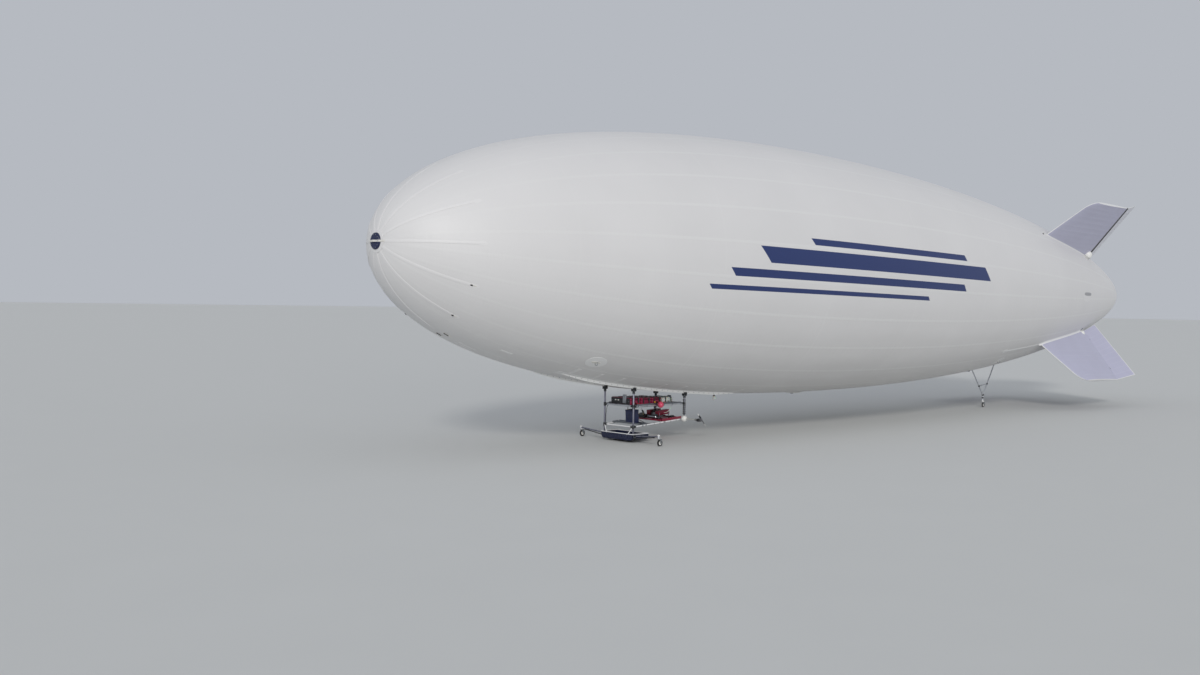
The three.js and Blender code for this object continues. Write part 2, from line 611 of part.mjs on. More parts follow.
function makePropeller(side, x, y, z) {
  let propeller = bar([x - PROPELLER.front, y, z], [x - PROPELLER.back, y, z], PROPELLER.hubR, 16);
  const long = PROPELLER.r - BLADE.foot;
  for (const half of [0, Math.PI]) {
    const blade = new THREE.BoxGeometry(BLADE.thick, BLADE.wide, long);
    blade.translate(0, 0, BLADE.foot + long / 2);
    const corners = blade.attributes.position;
    for (let i = 0; i < corners.count; i += 1) {
      const r = corners.getZ(i);
      const twist = r > PROPELLER.r / 2 ? BLADE.twistTip : BLADE.twistRoot;
      const [a, b] = [corners.getX(i), corners.getY(i)];
      corners.setX(i, a * Math.cos(twist) - b * Math.sin(twist));
      corners.setY(i, a * Math.sin(twist) + b * Math.cos(twist));
    }
    blade.rotateX(half + PROPELLER.rest);
    blade.translate(x - (PROPELLER.front + PROPELLER.back) / 2, y, z);
    propeller = propeller.add(solid(blade));
  }
  const hole = bore([x, y, z], [x - SHAFT.end - PAST, y, z], SHAFT.r);
  piece(airship, `propeller_${side}`, propeller.subtract(hole), BLACK);
}

function makeThrusters() {
  const x = X(POST_S.rear);
  const z = LOWER_Z.rear;
  for (const [side, sign] of Object.entries(SIDES)) {
    makeCornerBall(side, sign);
    const y = sign * BOOM.y;
    const inner = sign * (HALF_WIDTH - BOOM.inside + GAP);
    const boom = bar([x, inner, z], [x, y - sign * POD.r / 2, z], BOOM.r, 12);
    const pod = bar([x + POD.half, y, z], [x - POD.half, y, z], POD.r, 16);
    const shaft = bar([x - POD.half + BITE, y, z], [x - SHAFT.end, y, z], SHAFT.r, 12);
    piece(airship, `thruster_${side}`, join(boom, pod, shaft), BLACK);
    makePropeller(side, x, y, z);
  }
}

makeEnvelope();
makeNose();
makeTail();
makeRails();
makePosts();
makeFrameTubes();
makePan();
makeDeck();
makeLowerLoad();
makeLamps();
makeOutriggers();
makeTailGear();
makeThrusters();

export default airship;
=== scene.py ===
import math

import bmesh
import bpy
from mathutils import Matrix, Vector


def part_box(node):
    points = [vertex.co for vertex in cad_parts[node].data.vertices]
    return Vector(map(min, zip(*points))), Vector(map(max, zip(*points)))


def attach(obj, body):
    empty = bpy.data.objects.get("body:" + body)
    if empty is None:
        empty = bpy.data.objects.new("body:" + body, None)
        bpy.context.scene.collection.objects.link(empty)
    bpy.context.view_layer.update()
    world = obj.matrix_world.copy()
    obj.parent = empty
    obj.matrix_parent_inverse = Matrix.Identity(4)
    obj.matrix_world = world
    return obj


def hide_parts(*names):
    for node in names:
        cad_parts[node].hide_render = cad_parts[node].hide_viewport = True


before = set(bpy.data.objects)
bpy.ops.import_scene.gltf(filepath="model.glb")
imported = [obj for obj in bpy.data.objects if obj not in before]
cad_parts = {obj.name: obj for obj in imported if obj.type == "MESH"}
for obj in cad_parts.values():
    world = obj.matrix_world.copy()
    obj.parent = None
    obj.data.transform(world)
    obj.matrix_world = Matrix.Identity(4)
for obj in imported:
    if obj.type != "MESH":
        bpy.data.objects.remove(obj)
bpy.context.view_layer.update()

# Metres, in the ship's frame: +X to the nose, +Y to port, +Z up, the ground at z = 0.
# The envelope is a body of revolution, tilted nose up. Stations are measured aft from its nose tip.
LENGTH = 21.25
RADIUS = 2.08
FULLNESS = (1.781, -3.037, 3.864, -2.24)
PITCH = math.radians(1)
NOSE = Vector((10.598, 0, 2.82))
HULL = Matrix.Translation(NOSE) @ Matrix.Rotation(-PITCH, 4, "Y")
NOSE_HOLE = 0.06

# Twenty-four gores make the skin; gas pressure rounds each one out between its seams.
GORES = 24
GORE_STEPS = 10
LOBE = 0.009
SEAM_SUNK = 0.002

# The tail's four quarters, turned from the top towards port.
QUARTERS = {"upper_left": 46, "upper_right": -46, "lower_right": -137, "lower_left": 137}
FIN_TIP = 2.61
FIN_FRONT = {"root": 15.54, "tip": 16.08, "root_r": 1.594}
FIN_CORNER = {"tall": 0.22, "deep": 0.352}
FIN_THICK = {"root": 0.12, "tip": 0.07, "root_r": 1.1}
HINGE = {"root": 18.15, "tip": 17.76, "root_r": 1.143}
HINGE_ROOM = 0.028
SECTION_CUT = 0.84
TAB_R = (1.45, 2.3)
RUDDER_ROOT = 1.2
RUDDER_TIP = 2.604
RUDDER_REST = math.radians(14)
RUDDER_CHORD = (0.5, 0.66)
RUDDER_NOSE = (0.02, 0.012)
RIB_PITCH = 0.13
RIB_SAG = 0.005

# The gondola's posts, front and rear, and the heights of its tubes.
POST_X = (6.268, 5.148)
HALF_WIDTH = 0.31
POST_R = 0.014
TUBE_R = 0.011
LOWER_Z = (0.238, 0.307)
DECK_Z = 0.545
RAIL = {"front": 2.9, "rear": 6.6, "wide": 0.03, "tall": 0.045}
PAN_RIM = 0.13
PAN_FRONT = 6.308
LAMP_R = 0.048

# Running gear and thrusters.
TRACK = 0.84
TRAIL = 0.026
CROWN_Z = 0.108
ARM_Z = 0.105
SLEEVE_Z = (0.118, 0.165)
STEM_BORE = 0.0085
TAIL_LEGS = (-0.52, 0.5)
TAIL_HUB_Z = 0.262
BALL_R = 0.05
BOOM_Y = 0.62
PROPELLER_REST = math.radians(43)
BLADE = 0.12

SIDES = {"left": 1, "right": -1}
MM = 0.001
FULL_TURN = 2 * math.pi
UP = Vector((0, 0, 1))
AHEAD = Vector((1, 0, 0))
AFT = Vector((-1, 0, 0))
PORT = Vector((0, 1, 0))


# Materials.

def linear(hex_colour):
    """A linear colour with alpha from an sRGB hex string."""
    parts = [int(hex_colour[i:i + 2], 16) / 255 for i in (0, 2, 4)]
    return tuple(p / 12.92 if p <= 0.04045 else ((p + 0.055) / 1.055) ** 2.4 for p in parts) + (1,)


def fill(tree, node, inputs):
    """Sets or links a node's inputs. A node given as a value lends its first output."""
    for socket, value in inputs.items():
        if isinstance(value, bpy.types.Node):
            value = value.outputs[0]
        if isinstance(value, bpy.types.NodeSocket):
            tree.links.new(value, node.inputs[socket])
        else:
            node.inputs[socket].default_value = value


def add_node(tree, kind, inputs=None, **settings):
    """Adds a shader node with its settings and links."""
    made = tree.nodes.new("ShaderNode" + kind)
    for name, value in settings.items():
        setattr(made, name, value)
    fill(tree, made, inputs or {})
    return made


def surface(name, hex_colour, roughness, metallic=0.0, **sockets):
    """A new material with its shader's own sockets set, and the place that its patterns start from."""
    made = bpy.data.materials.new(name)
    made.use_nodes = True
    tree = made.node_tree
    shader = tree.nodes["Principled BSDF"]
    fill(tree, shader, {"Base Color": linear(hex_colour), "Roughness": roughness, "Metallic": metallic})
    fill(tree, shader, {socket.replace("_", " "): value for socket, value in sockets.items()})
    return made, tree, shader, add_node(tree, "TexCoord").outputs["Object"]


def grained(name, hex_colour, roughness, metallic=0.0, grain=8, depth=0.2, shade=0.12,
            stretch=(1, 1, 1), **sockets):
    """A material whose tone, gloss and height vary with a grain of some millimetres."""
    made, tree, shader, place = surface(name, hex_colour, roughness, metallic, **sockets)
    mapped = add_node(tree, "Mapping", {"Vector": place, "Scale": stretch})
    noise = add_node(tree, "TexNoise", {"Vector": mapped, "Scale": 1 / (grain * MM), "Detail": 4})
    colour = Vector(linear(hex_colour)[:3])
    darker, lighter = ([min(1, c) for c in colour * (1 + change)] + [1] for change in (-shade, shade))
    tone = add_node(tree, "Mix", {"Factor": noise, 6: darker, 7: lighter}, data_type="RGBA")
    gloss = add_node(tree, "MapRange", {
        "Value": noise, "To Min": roughness * 0.85, "To Max": min(1, roughness * 1.15)})
    bump = add_node(tree, "Bump", {"Height": noise, "Distance": depth * MM, "Strength": 0.6})
    fill(tree, shader, {"Base Color": tone.outputs[2], "Roughness": gloss, "Normal": bump})
    return made


def coated_polyester_envelope():
    """Polyester coated with white polyurethane: satin, with welded seam tapes a little brighter."""
    white, tape, soiled, navy = (linear(c) for c in ("d9d8d8", "dededd", "bcbab7", "1f3268"))
    made, tree, shader, place = surface("coated_polyester_envelope", "d9d8d8", 0.5, Sheen_Weight=0.06)
    station, seam, arc = (
        add_node(tree, "Attribute", attribute_name=name).outputs["Fac"]
        for name in ("station", "from_seam", "side_arc"))

    # Cloudy tone over about a metre, and soil near the belly.
    cloud = add_node(tree, "TexNoise", {"Vector": place, "Scale": 0.9, "Detail": 3})
    streaks = add_node(tree, "Mapping", {"Vector": place, "Scale": (0.5, 2.5, 2.5)})
    streak = add_node(tree, "TexNoise", {"Vector": streaks, "Scale": 1.6, "Detail": 5})
    height = add_node(tree, "SeparateXYZ", {0: place}).outputs["Z"]
    low = add_node(tree, "MapRange", {
        "Value": height, "From Min": 0.6, "From Max": 2.2, "To Min": 0.5, "To Max": 0})
    soil = add_node(tree, "Math", {0: low, 1: streak}, operation="MULTIPLY")
    clean = add_node(tree, "Mix", {"Factor": soil, 6: white, 7: soiled}, data_type="RGBA").outputs[2]
    brightness = add_node(tree, "MapRange", {"Value": cloud, "To Min": 0.96, "To Max": 1.04})
    toned = add_node(tree, "HueSaturation", {"Color": clean, "Value": brightness})

    # Lengthwise seam tapes 40 mm wide, and cross seams every 2.4 m.
    near = add_node(tree, "MapRange", {
        "Value": seam, "From Min": 0.017, "From Max": 0.023, "To Min": 1, "To Max": 0})
    moved = add_node(tree, "Math", {0: station, 1: 0.3}, operation="ADD")
    cross = add_node(tree, "Math", {0: moved, 1: 1.2}, operation="PINGPONG")
    across = add_node(tree, "MapRange", {
        "Value": cross, "From Min": 0.014, "From Max": 0.02, "To Min": 0.35, "To Max": 0})
    taped = add_node(tree, "Math", {0: near, 1: across}, operation="MAXIMUM")
    # Towards the nose the tapes crowd together, and a layer of cloth over them hides their colour.
    showing = add_node(tree, "MapRange", {
        "Value": station, "From Min": 0.4, "From Max": 4, "To Min": 0.1, "To Max": 0.55})
    shown = add_node(tree, "Math", {0: taped, 1: showing}, operation="MULTIPLY")
    final = add_node(tree, "Mix", {"Factor": shown, 6: toned, 7: tape}, data_type="RGBA").outputs[2]

    # Plain navy stripes along both sides: lower and upper edge, front and rear station, slanted ends.
    stripes = [(0.30, 0.40, 6.7, 11.2), (-0.02, 0.22, 5.4, 11.8),
               (-0.24, -0.12, 4.5, 10.7), (-0.44, -0.37, 3.9, 9.3)]
    slant = 0.9
    slanted = add_node(tree, "Math", {0: arc, 1: slant, 2: station}, operation="MULTIPLY_ADD")
    painted = 0.0
    for lower, upper, front, rear in stripes:
        tall, long = (
            add_node(tree, "Math", {0: value, 1: (a + b) / 2, 2: (b - a) / 2}, operation="COMPARE")
            for value, a, b in ((arc, lower, upper), (slanted, front, rear)))
        stripe = add_node(tree, "Math", {0: tall, 1: long}, operation="MULTIPLY")
        painted = add_node(tree, "Math", {0: painted, 1: stripe}, operation="MAXIMUM")
    final = add_node(tree, "Mix", {"Factor": painted, 6: final, 7: navy}, data_type="RGBA").outputs[2]

    # Puckers beside the seams, fading over 0.1 m, and a fine crinkle. The weave is too fine to show.
    pleats = add_node(tree, "Mapping", {"Vector": place, "Scale": (14, 2, 2)})
    pucker = add_node(tree, "TexNoise", {"Vector": pleats, "Scale": 1.2, "Detail": 2})
    beside = add_node(tree, "MapRange", {
        "Value": seam, "From Min": 0.0, "From Max": 0.12, "To Min": 1, "To Max": 0.12})
    rippled = add_node(tree, "Math", {0: pucker, 1: beside}, operation="MULTIPLY")
    raised = add_node(tree, "Math", {0: taped, 1: 0.12, 2: rippled}, operation="MULTIPLY_ADD")
    bump = add_node(tree, "Bump", {"Height": raised, "Distance": 6 * MM, "Strength": 0.7})
    fill(tree, shader, {"Base Color": final, "Normal": bump})
    return made


def ribbed_fabric(name, cloth_hex, rib_highlight_hex):
    """Coated fabric stretched over ribs, with a painted highlight: a soft lighter line along each rib."""
    made, tree, shader, place = surface(name, cloth_hex, 0.5, Sheen_Weight=0.1)
    rib = add_node(tree, "Attribute", attribute_name="from_rib").outputs["Fac"]
    cloud = add_node(tree, "TexNoise", {"Vector": place, "Scale": 2.2, "Detail": 4})
    # Painted highlight: near each rib the cloth is mixed towards the lighter rib colour.
    near = add_node(tree, "MapRange", {
        "Value": rib, "From Min": 0.006, "From Max": 0.016, "To Min": 0.55, "To Max": 0})
    rib_highlighted = add_node(tree, "Mix", {
        "Factor": near, 6: linear(cloth_hex), 7: linear(rib_highlight_hex)}, data_type="RGBA").outputs[2]
    brightness = add_node(tree, "MapRange", {"Value": cloud, "To Min": 0.94, "To Max": 1.06})
    toned = add_node(tree, "HueSaturation", {"Color": rib_highlighted, "Value": brightness})
    crinkle = add_node(tree, "TexNoise", {"Vector": place, "Scale": 9, "Detail": 5})
    bump = add_node(tree, "Bump", {"Height": crinkle, "Distance": 2 * MM, "Strength": 0.5})
    fill(tree, shader, {"Base Color": toned, "Normal": bump})
    return made


def woven_webbing(name, hex_colour):
    """Nylon webbing: matt, with fine crosswise ribs drawn 2.5 mm apart so that they show."""
    made, tree, shader, place = surface(name, hex_colour, 0.75, Sheen_Weight=0.2)
    bands_in_unit = 6.3
    ribs = add_node(tree, "TexWave", {
        "Vector": place, "Scale": 1 / (2.5 * MM) / bands_in_unit, "Distortion": 1.5},
        wave_type="BANDS", bands_direction="DIAGONAL").outputs["Fac"]
    colour = Vector(linear(hex_colour)[:3])
    tone = add_node(tree, "Mix", {
        "Factor": ribs, 6: (*(colour * 0.8), 1), 7: (*colour, 1)}, data_type="RGBA")
    bump = add_node(tree, "Bump", {"Height": ribs, "Distance": 0.4 * MM, "Strength": 0.5})
    fill(tree, shader, {"Base Color": tone.outputs[2], "Normal": bump})
    return made


def carbon_weave():
    """Carbon fibre under clear resin: near black, its twill drawn 6 mm wide so that it shows."""
    made, tree, shader, place = surface(
        "carbon_fibre", "17181b", 0.32, Coat_Weight=0.6, Coat_Roughness=0.12)
    checks = add_node(tree, "TexChecker", {
        "Vector": place, "Scale": 1 / (6 * MM), "Color1": linear("121316"), "Color2": linear("2b2d33")})
    fill(tree, shader, {"Base Color": checks})
    return made


SKIN = coated_polyester_envelope()
# The fins' cloth is lavender-grey, with a painted highlight along its ribs. On the rudders' lower sides it is
# painted nearly white, as painted light coming through the thin cloth.
FIN_CLOTH = ribbed_fabric("coated_polyester_fin", "b5b5ca", "bbbbce")
RUDDER_PAINTED_LIGHT_CLOTH = ribbed_fabric("coated_polyester_rudder_painted_light", "dcdce4", "e2e2e8")
# White coated tape welded over edges and joints: a little glossier than the gores, with soft crinkles.
TAPE = grained("coated_tape_white", "e1e1e1", 0.42, grain=60, depth=0.6, shade=0.03)
# The battens' sleeves are cut from the gores' own cloth.
SLEEVE_CLOTH = grained("coated_polyester_sleeve", "dddcdc", 0.5, grain=60, depth=0.5, shade=0.02)
# The same tape in grey, on the vent flap.
GREY_TAPE = grained("coated_tape_grey", "a2a2a5", 0.5, grain=60, depth=0.6, shade=0.05)
# Powder coat has a fine orange peel; the colours are navy, white, grey and red.
NAVY, WHITE_COAT, GREY_COAT, RED_COAT = (
    grained("powder_coat_" + colour, hex_colour, roughness, grain=5, depth=0.12, shade=shade)
    for colour, hex_colour, roughness, shade in (
        ("navy", "1c2448", 0.42, 0.1), ("white", "dedfe0", 0.38, 0.04),
        ("grey", "b4b6b2", 0.4, 0.06), ("red", "811b34", 0.4, 0.14)))
# The pan is laid up in glass fibre with a navy gel coat: smoother and glossier, with a faint wave.
NAVY_GLOSS = grained("gel_coat_navy", "171d3a", 0.28, grain=40, depth=0.3, shade=0.06)
# Anodised aluminium tube, drawn lengthwise: satin, with long faint streaks.
ALUMINIUM = grained("anodised_aluminium", "d3d6db", 0.42, 1.0, grain=3, depth=0.05, shade=0.1)
# The posts and the outriggers are of grey anodised tube: cooler and darker, just as satin.
GREY_TUBE = grained("anodised_aluminium_grey", "8d8e9b", 0.42, 1.0, grain=3, depth=0.05, shade=0.1)
# Sheet aluminium, rolled and left bare: duller than the tube.
SHEET = grained("rolled_aluminium_sheet", "8a8e94", 0.45, 1.0, grain=12, depth=0.05, stretch=(0.2, 1, 1))
# Cast aluminium, bead blasted: matt and slightly pitted.
CASTING = grained("cast_aluminium", "a3a5a8", 0.55, 0.8, grain=3, depth=0.4, shade=0.2)
# Zinc plated steel: bright, with cloudy spangle.
ZINC = grained("zinc_plated_steel", "a4a8ac", 0.3, 1.0, grain=9, depth=0.05, shade=0.14)
# Moulded ABS, fine textured.
BLACK_ABS = grained("abs_black", "1d1e22", 0.5, grain=2, depth=0.1, shade=0.15)
WHITE_ABS = grained("abs_white", "e4e4e1", 0.36, grain=4, depth=0.05, shade=0.04)
RED_ABS = grained("abs_red", "8a1f42", 0.38, grain=3, depth=0.08)
# Extruded rigid PVC, the whitest thing on the ship: smooth, with a soft gloss.
RAIL_PVC = grained("rigid_pvc_white", "f7f7f5", 0.3, grain=30, depth=0.1, shade=0.02)
# Blow moulded polyethylene: milky, softly glossy, lets a little light in.
HDPE = grained("hdpe_natural", "efefe8", 0.35, grain=14, depth=0.3, shade=0.05, Subsurface_Weight=0.2)
# Lamp globes: tinted polycarbonate, glossy, lit through.
RED_GLOBE, GREEN_GLOBE = (
    grained("polycarbonate_" + name, hex_colour, 0.16, grain=6, depth=0.02, shade=0.08, Subsurface_Weight=0.3)
    for name, hex_colour in (("red", "cd4c69"), ("green", "2fae62")))
OPAL = grained("acrylic_opal", "f8f7f0", 0.2, depth=0.02, shade=0.03, Subsurface_Weight=0.4)
# Vulcanised rubber: matt black, greyed by dust.
RUBBER = grained("vulcanised_rubber", "2a2a2b", 0.82, grain=4, depth=0.3, shade=0.3)
# Black webbing for straps, tabs and looms. The same material paints the shade in the tail's hinge gaps.
BLACK_WEB_AND_GAP_SHADE = woven_webbing("nylon_webbing_black_and_gap_shade", "232427")
WHITE_WEB = woven_webbing("nylon_webbing_white", "dedcd6")
# Cable sheaths and hoses: extruded PVC and silicone, smooth and softly glossy.
BLACK_CABLE = grained("pvc_sheath_black", "18181a", 0.4, grain=3, depth=0.05, shade=0.1)
RED_CABLE = grained("pvc_sheath_red", "b01c22", 0.4, grain=3, depth=0.05, shade=0.1)
CLEAR_HOSE = grained(
    "silicone_hose_milky", "d9d9d3", 0.3, grain=5, depth=0.05, shade=0.06, Subsurface_Weight=0.3)
# Moulded nylon: a soft gloss. Brass is turned bright, and enamelled copper wire is warm and dark.
YELLOW_PLUG = grained("nylon_connector_yellow", "d8a414", 0.4, grain=3, depth=0.05, shade=0.08)
BRASS = grained("turned_brass", "b08d3e", 0.3, 1.0, grain=2, depth=0.03, shade=0.1)
COPPER = grained("enamelled_copper_wire", "9a4f24", 0.35, 1.0, grain=1.5, shade=0.25)
CARBON = carbon_weave()


# Shapes. Each makes a small mesh at the origin, which is then put in its place.

def round_edges(work, edges, offset, steps=2):
    bmesh.ops.bevel(work, geom=edges, offset=offset, segments=steps, profile=0.5, affect="EDGES", material=-1)


def box(size, rounded=0.0, steps=2):
    work = bmesh.new()
    bmesh.ops.create_cube(work, size=1)
    bmesh.ops.scale(work, vec=size, verts=work.verts)
    if rounded:
        round_edges(work, work.edges[:], rounded, steps)
    return work


def rod(radius, length, sides=20, end_radius=None, rounded=0.0):
    """A round bar along z from the origin up, its ends' edges rounded."""
    work = bmesh.new()
    bmesh.ops.create_cone(work, cap_ends=True, segments=sides, radius1=radius,
                          radius2=radius if end_radius is None else end_radius, depth=length)
    bmesh.ops.translate(work, vec=(0, 0, length / 2), verts=work.verts)
    if rounded:
        ends = [e for e in work.edges if abs(e.verts[0].co.z - e.verts[1].co.z) < length * 0.01]
        round_edges(work, ends, rounded)
    return work


def turn_line(points, axis, steps, weld, closed=False):
    """Joins points into a line, turns it once round an axis through the origin and merges its doubles."""
    work = bmesh.new()
    line = [work.verts.new(p) for p in points]
    for a, b in zip(line, line[1:]):
        work.edges.new((a, b))
    if closed:
        work.edges.new((line[-1], line[0]))
    bmesh.ops.spin(work, geom=work.verts[:] + work.edges[:], cent=(0, 0, 0), axis=axis, dvec=(0, 0, 0),
                   angle=FULL_TURN, steps=steps, use_merge=True, use_normal_flip=False, use_duplicate=False)
    bmesh.ops.remove_doubles(work, verts=work.verts, dist=weld)
    return work


def lathe(profile, sides=32):
    """An outline of (radius, height) points turned about z. It closes unless it ends on the axis."""
    hollow = profile[0][0] > 0 and profile[-1][0] > 0
    return turn_line([(r, 0, z) for r, z in profile], (0, 0, 1), sides, 1e-6, hollow)


def ring(inner, outer, low, high, sides=28):
    """A round band about z with a rectangular section."""
    return lathe([(inner, low), (outer, low), (outer, high), (inner, high)], sides)


def polar(radius, around, height=0.0):
    return Vector((radius * math.cos(around), radius * math.sin(around), height))


def turns(count, first=0.0):
    """Angles spread evenly round a circle, the first one at a share of a step."""
    return [FULL_TURN * (k + first) / count for k in range(count)]


def steps_between(low, high, count):
    return [low + (high - low) * i / count for i in range(count + 1)]


def mix(a, b, share):
    return a + (b - a) * share


def circle(radius, sides=12):
    return [(radius * math.cos(around), radius * math.sin(around)) for around in turns(sides)]


def oblong(wide, tall, corner=None, steps=3):
    """A rectangle with round corners, as points across and up."""
    corner = min(wide, tall) * 0.45 if corner is None else corner
    points = []
    for quarter, (sx, sy) in enumerate([(1, 1), (-1, 1), (-1, -1), (1, -1)]):
        for i in range(steps + 1):
            turn = (quarter + i / steps) * math.pi / 2
            points.append((sx * (wide / 2 - corner) + corner * math.cos(turn),
                           sy * (tall / 2 - corner) + corner * math.sin(turn)))
    return points


def frames_along(path, ups=None):
    """A matrix at each point of a path, its z along the path and its y towards the given up."""
    path = [Vector(p) for p in path]
    frames = []
    up = None
    for i, spot in enumerate(path):
        ahead = (path[min(i + 1, len(path) - 1)] - path[max(i - 1, 0)]).normalized()
        if ups:
            up = Vector(ups[i])
        elif up is None:
            up = ahead.orthogonal()
        side = up.cross(ahead).normalized()
        up = ahead.cross(side).normalized()
        frames.append(Matrix.Translation(spot) @ Matrix((side, up, ahead)).transposed().to_4x4())
    return frames


def sweep(section, frames, sizes=None):
    """A flat section carried through frames, closed at both ends."""
    work = bmesh.new()
    sized = [f @ Matrix.Scale(s, 4) for f, s in zip(frames, sizes or [1] * len(frames))]
    face = work.faces.new([work.verts.new(sized[0] @ Vector((x, y, 0))) for x, y in section])
    for before, after in zip(sized, sized[1:]):
        grown = bmesh.ops.extrude_face_region(work, geom=[face])["geom"]
        face = next(g for g in grown if isinstance(g, bmesh.types.BMFace))
        bmesh.ops.transform(work, matrix=after @ before.inverted(), verts=face.verts[:])
    return work


def band(section, path, up=UP):
    """A section carried along a path, its height kept towards one direction."""
    return sweep(section, frames_along(path, [up] * len(path)))


def smooth(points, steps=6):
    """A smooth line through a few points."""
    points = [Vector(p) for p in points]
    line = []
    for i in range(len(points) - 1):
        p0, p1, p2, p3 = points[max(i - 1, 0)], points[i], points[i + 1], points[min(i + 2, len(points) - 1)]
        for k in range(steps):
            t = k / steps
            line.append(0.5 * (2 * p1 + (p2 - p0) * t + (2 * p0 - 5 * p1 + 4 * p2 - p3) * t ** 2
                               + (3 * p1 - p0 - 3 * p2 + p3) * t ** 3))
    return line + [points[-1]]


def pipe(points, radius, sides=10, steps=6):
    return sweep(circle(radius, sides), frames_along(smooth(points, steps)))


def thicken(work, thick):
    """Gives flat faces a thickness up along z."""
    grown = bmesh.ops.extrude_face_region(work, geom=work.faces[:])["geom"]
    raised = [g for g in grown if isinstance(g, bmesh.types.BMVert)]
    bmesh.ops.translate(work, vec=(0, 0, thick), verts=raised)
    return work


def plate(outline, thick):
    """A flat outline in x and y, thickened up along z."""
    work = bmesh.new()
    work.faces.new([work.verts.new((x, y, 0)) for x, y in outline])
    return thicken(work, thick)


def doubler(long, wide, thick=0.003, round_share=0.95):
    """A flat fabric patch with round ends, dense enough to lie on the skin."""
    work = bmesh.new()
    bmesh.ops.create_grid(work, x_segments=12, y_segments=8, size=0.5)
    for v in work.verts:
        x, y = v.co.x * 2, v.co.y * 2
        v.co.x = x * math.sqrt(1 - round_share * y * y / 2) * long / 2
        v.co.y = y * math.sqrt(1 - round_share * x * x / 2) * wide / 2
    return thicken(work, thick)


def bolt(size):
    """A washer with a hexagon head on it, standing on z = 0."""
    work = lathe([(0, 0), (size * 1.1, 0), (size * 1.1, size * 0.18), (0, size * 0.18)], 20)
    pour(moved(rod(size * 0.9, size * 0.7, 6, rounded=size * 0.1), (0, 0, size * 0.18)), work)
    return work


def globe(radius, sides=32):
    work = bmesh.new()
    bmesh.ops.create_uvsphere(work, u_segments=sides, v_segments=sides // 2, radius=radius)
    return work


def hoop(radius, wire, sides=28):
    """A round ring of wire lying flat."""
    return lathe([(radius + x, y) for x, y in circle(wire, 8)], sides)


def mirrored(half):
    """An outline with its mirror image in height added after it."""
    return half + [(r, -z) for r, z in half[::-1]]


def moved(part, spot):
    part.transform(Matrix.Translation(spot))
    return part


def placed(place, points):
    return [place @ Vector(p) for p in points]


def pour(part, into):
    """Adds one mesh to another and lets it go."""
    mesh = bpy.data.meshes.new("part")
    part.to_mesh(mesh)
    part.free()
    into.from_mesh(mesh)
    bpy.data.meshes.remove(mesh)


def at(spot, axis=UP):
    """The place that puts a part's origin at a spot and its z along an axis."""
    return Matrix.Translation(spot) @ UP.rotation_difference(Vector(axis)).to_matrix().to_4x4()


def out_from(around, spot):
    """A place at a spot, after a turn about z."""
    return Matrix.Rotation(around, 4, "Z") @ Matrix.Translation(spot)


class Piece:
    """One visible piece. Parts are put in it, then it is set on a body of the frame."""

    def __init__(self, name):
        self.name = name
        self.work = bmesh.new()
        self.finishes = []

    def put(self, part, finish, place=None, sharp=35):
        """Adds a part in one finish or several. Its place is a matrix, or a spot if it isn't turned."""
        finishes = finish if isinstance(finish, list) else [finish]
        self.finishes += [f for f in finishes if f not in self.finishes]
        slots = [self.finishes.index(f) for f in finishes]
        if place is not None:
            part.transform(place if isinstance(place, Matrix) else Matrix.Translation(place))
        bmesh.ops.recalc_face_normals(part, faces=part.faces)
        limit = math.radians(sharp)
        for edge in part.edges:
            edge.smooth = len(edge.link_faces) == 2 and edge.calc_face_angle() < limit
        for face in part.faces:
            face.smooth = True
            face.material_index = slots[face.material_index if len(slots) > 1 else 0]
        pour(part, self.work)
        return self

    def bar(self, a, b, radius, finish, sides=20, rounded=0.0):
        a, b = Vector(a), Vector(b)
        return self.put(rod(radius, (b - a).length, sides, rounded=rounded), finish, at(a, b - a))

    def bolts(self, size, *places):
        for place in places:
            self.put(bolt(size), ZINC, place)

    def collar(self, spot, axis, radius, long, finish):
        """A round sleeve about a spot, with two set screws."""
        axis = Vector(axis).normalized()
        spot = Vector(spot)
        self.put(rod(radius, long, 28, rounded=0.0025), finish, at(spot - axis * long / 2, axis))
        side = axis.orthogonal().normalized()
        self.bolts(0.003, *(
            at(spot + axis * long * share + side * (radius - 0.0006), side) for share in (-0.28, 0.28)))

    def set_on(self, body, *nodes, slot=None):
        mesh = bpy.data.meshes.new(self.name)
        self.work.to_mesh(mesh)
        self.work.free()
        made = bpy.data.objects.new(self.name, mesh)
        bpy.context.scene.collection.objects.link(made)
        for finish in self.finishes:
            mesh.materials.append(finish)
        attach(made, body)
        if nodes:
            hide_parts(*nodes)


# The skin's shape, and flat work laid on it.

def radius_at(station):
    u = min(max(station / LENGTH, 0), 1)
    a, b, c, d = FULLNESS
    return RADIUS * math.sqrt(max(0, 4 * u * (1 - u) * (a + b * u + c * u * u + d * u ** 3)))


def slope_at(station):
    step = 0.002
    return (radius_at(station + step) - radius_at(station - step)) / (2 * step)


def station_of(radius):
    """Station near the nose at which the skin has this radius."""
    low, high = 0.0, 2.0
    for _ in range(40):
        middle = (low + high) / 2
        if radius_at(middle) < radius:
            low = middle
        else:
            high = middle
    return (low + high) / 2


def gore_share(turn):
    """Where a turn lies across its gore, from seam to seam."""
    return (turn * GORES / FULL_TURN + 0.5) % 1


def skin(station, turn, out=0.0):
    """The point of the skin at a station and a turn (radians from the top to port), moved out by metres."""
    radius = radius_at(station)
    rise = slope_at(station)
    slant = math.sqrt(1 + rise * rise)
    share = gore_share(turn)
    lobe = LOBE * radius * FULL_TURN / GORES * 4 * share * (1 - share) - SEAM_SUNK * radius / RADIUS
    r = radius + lobe + out / slant
    return HULL @ Vector((-station + out * rise / slant, r * math.sin(turn), r * math.cos(turn)))


def normal_at(station, turn):
    return (skin(station, turn, 0.01) - skin(station, turn)).normalized()


def on_skin(station, turn, out=0.0):
    """A place on the skin, its z straight out of it."""
    return at(skin(station, turn, out), normal_at(station, turn))


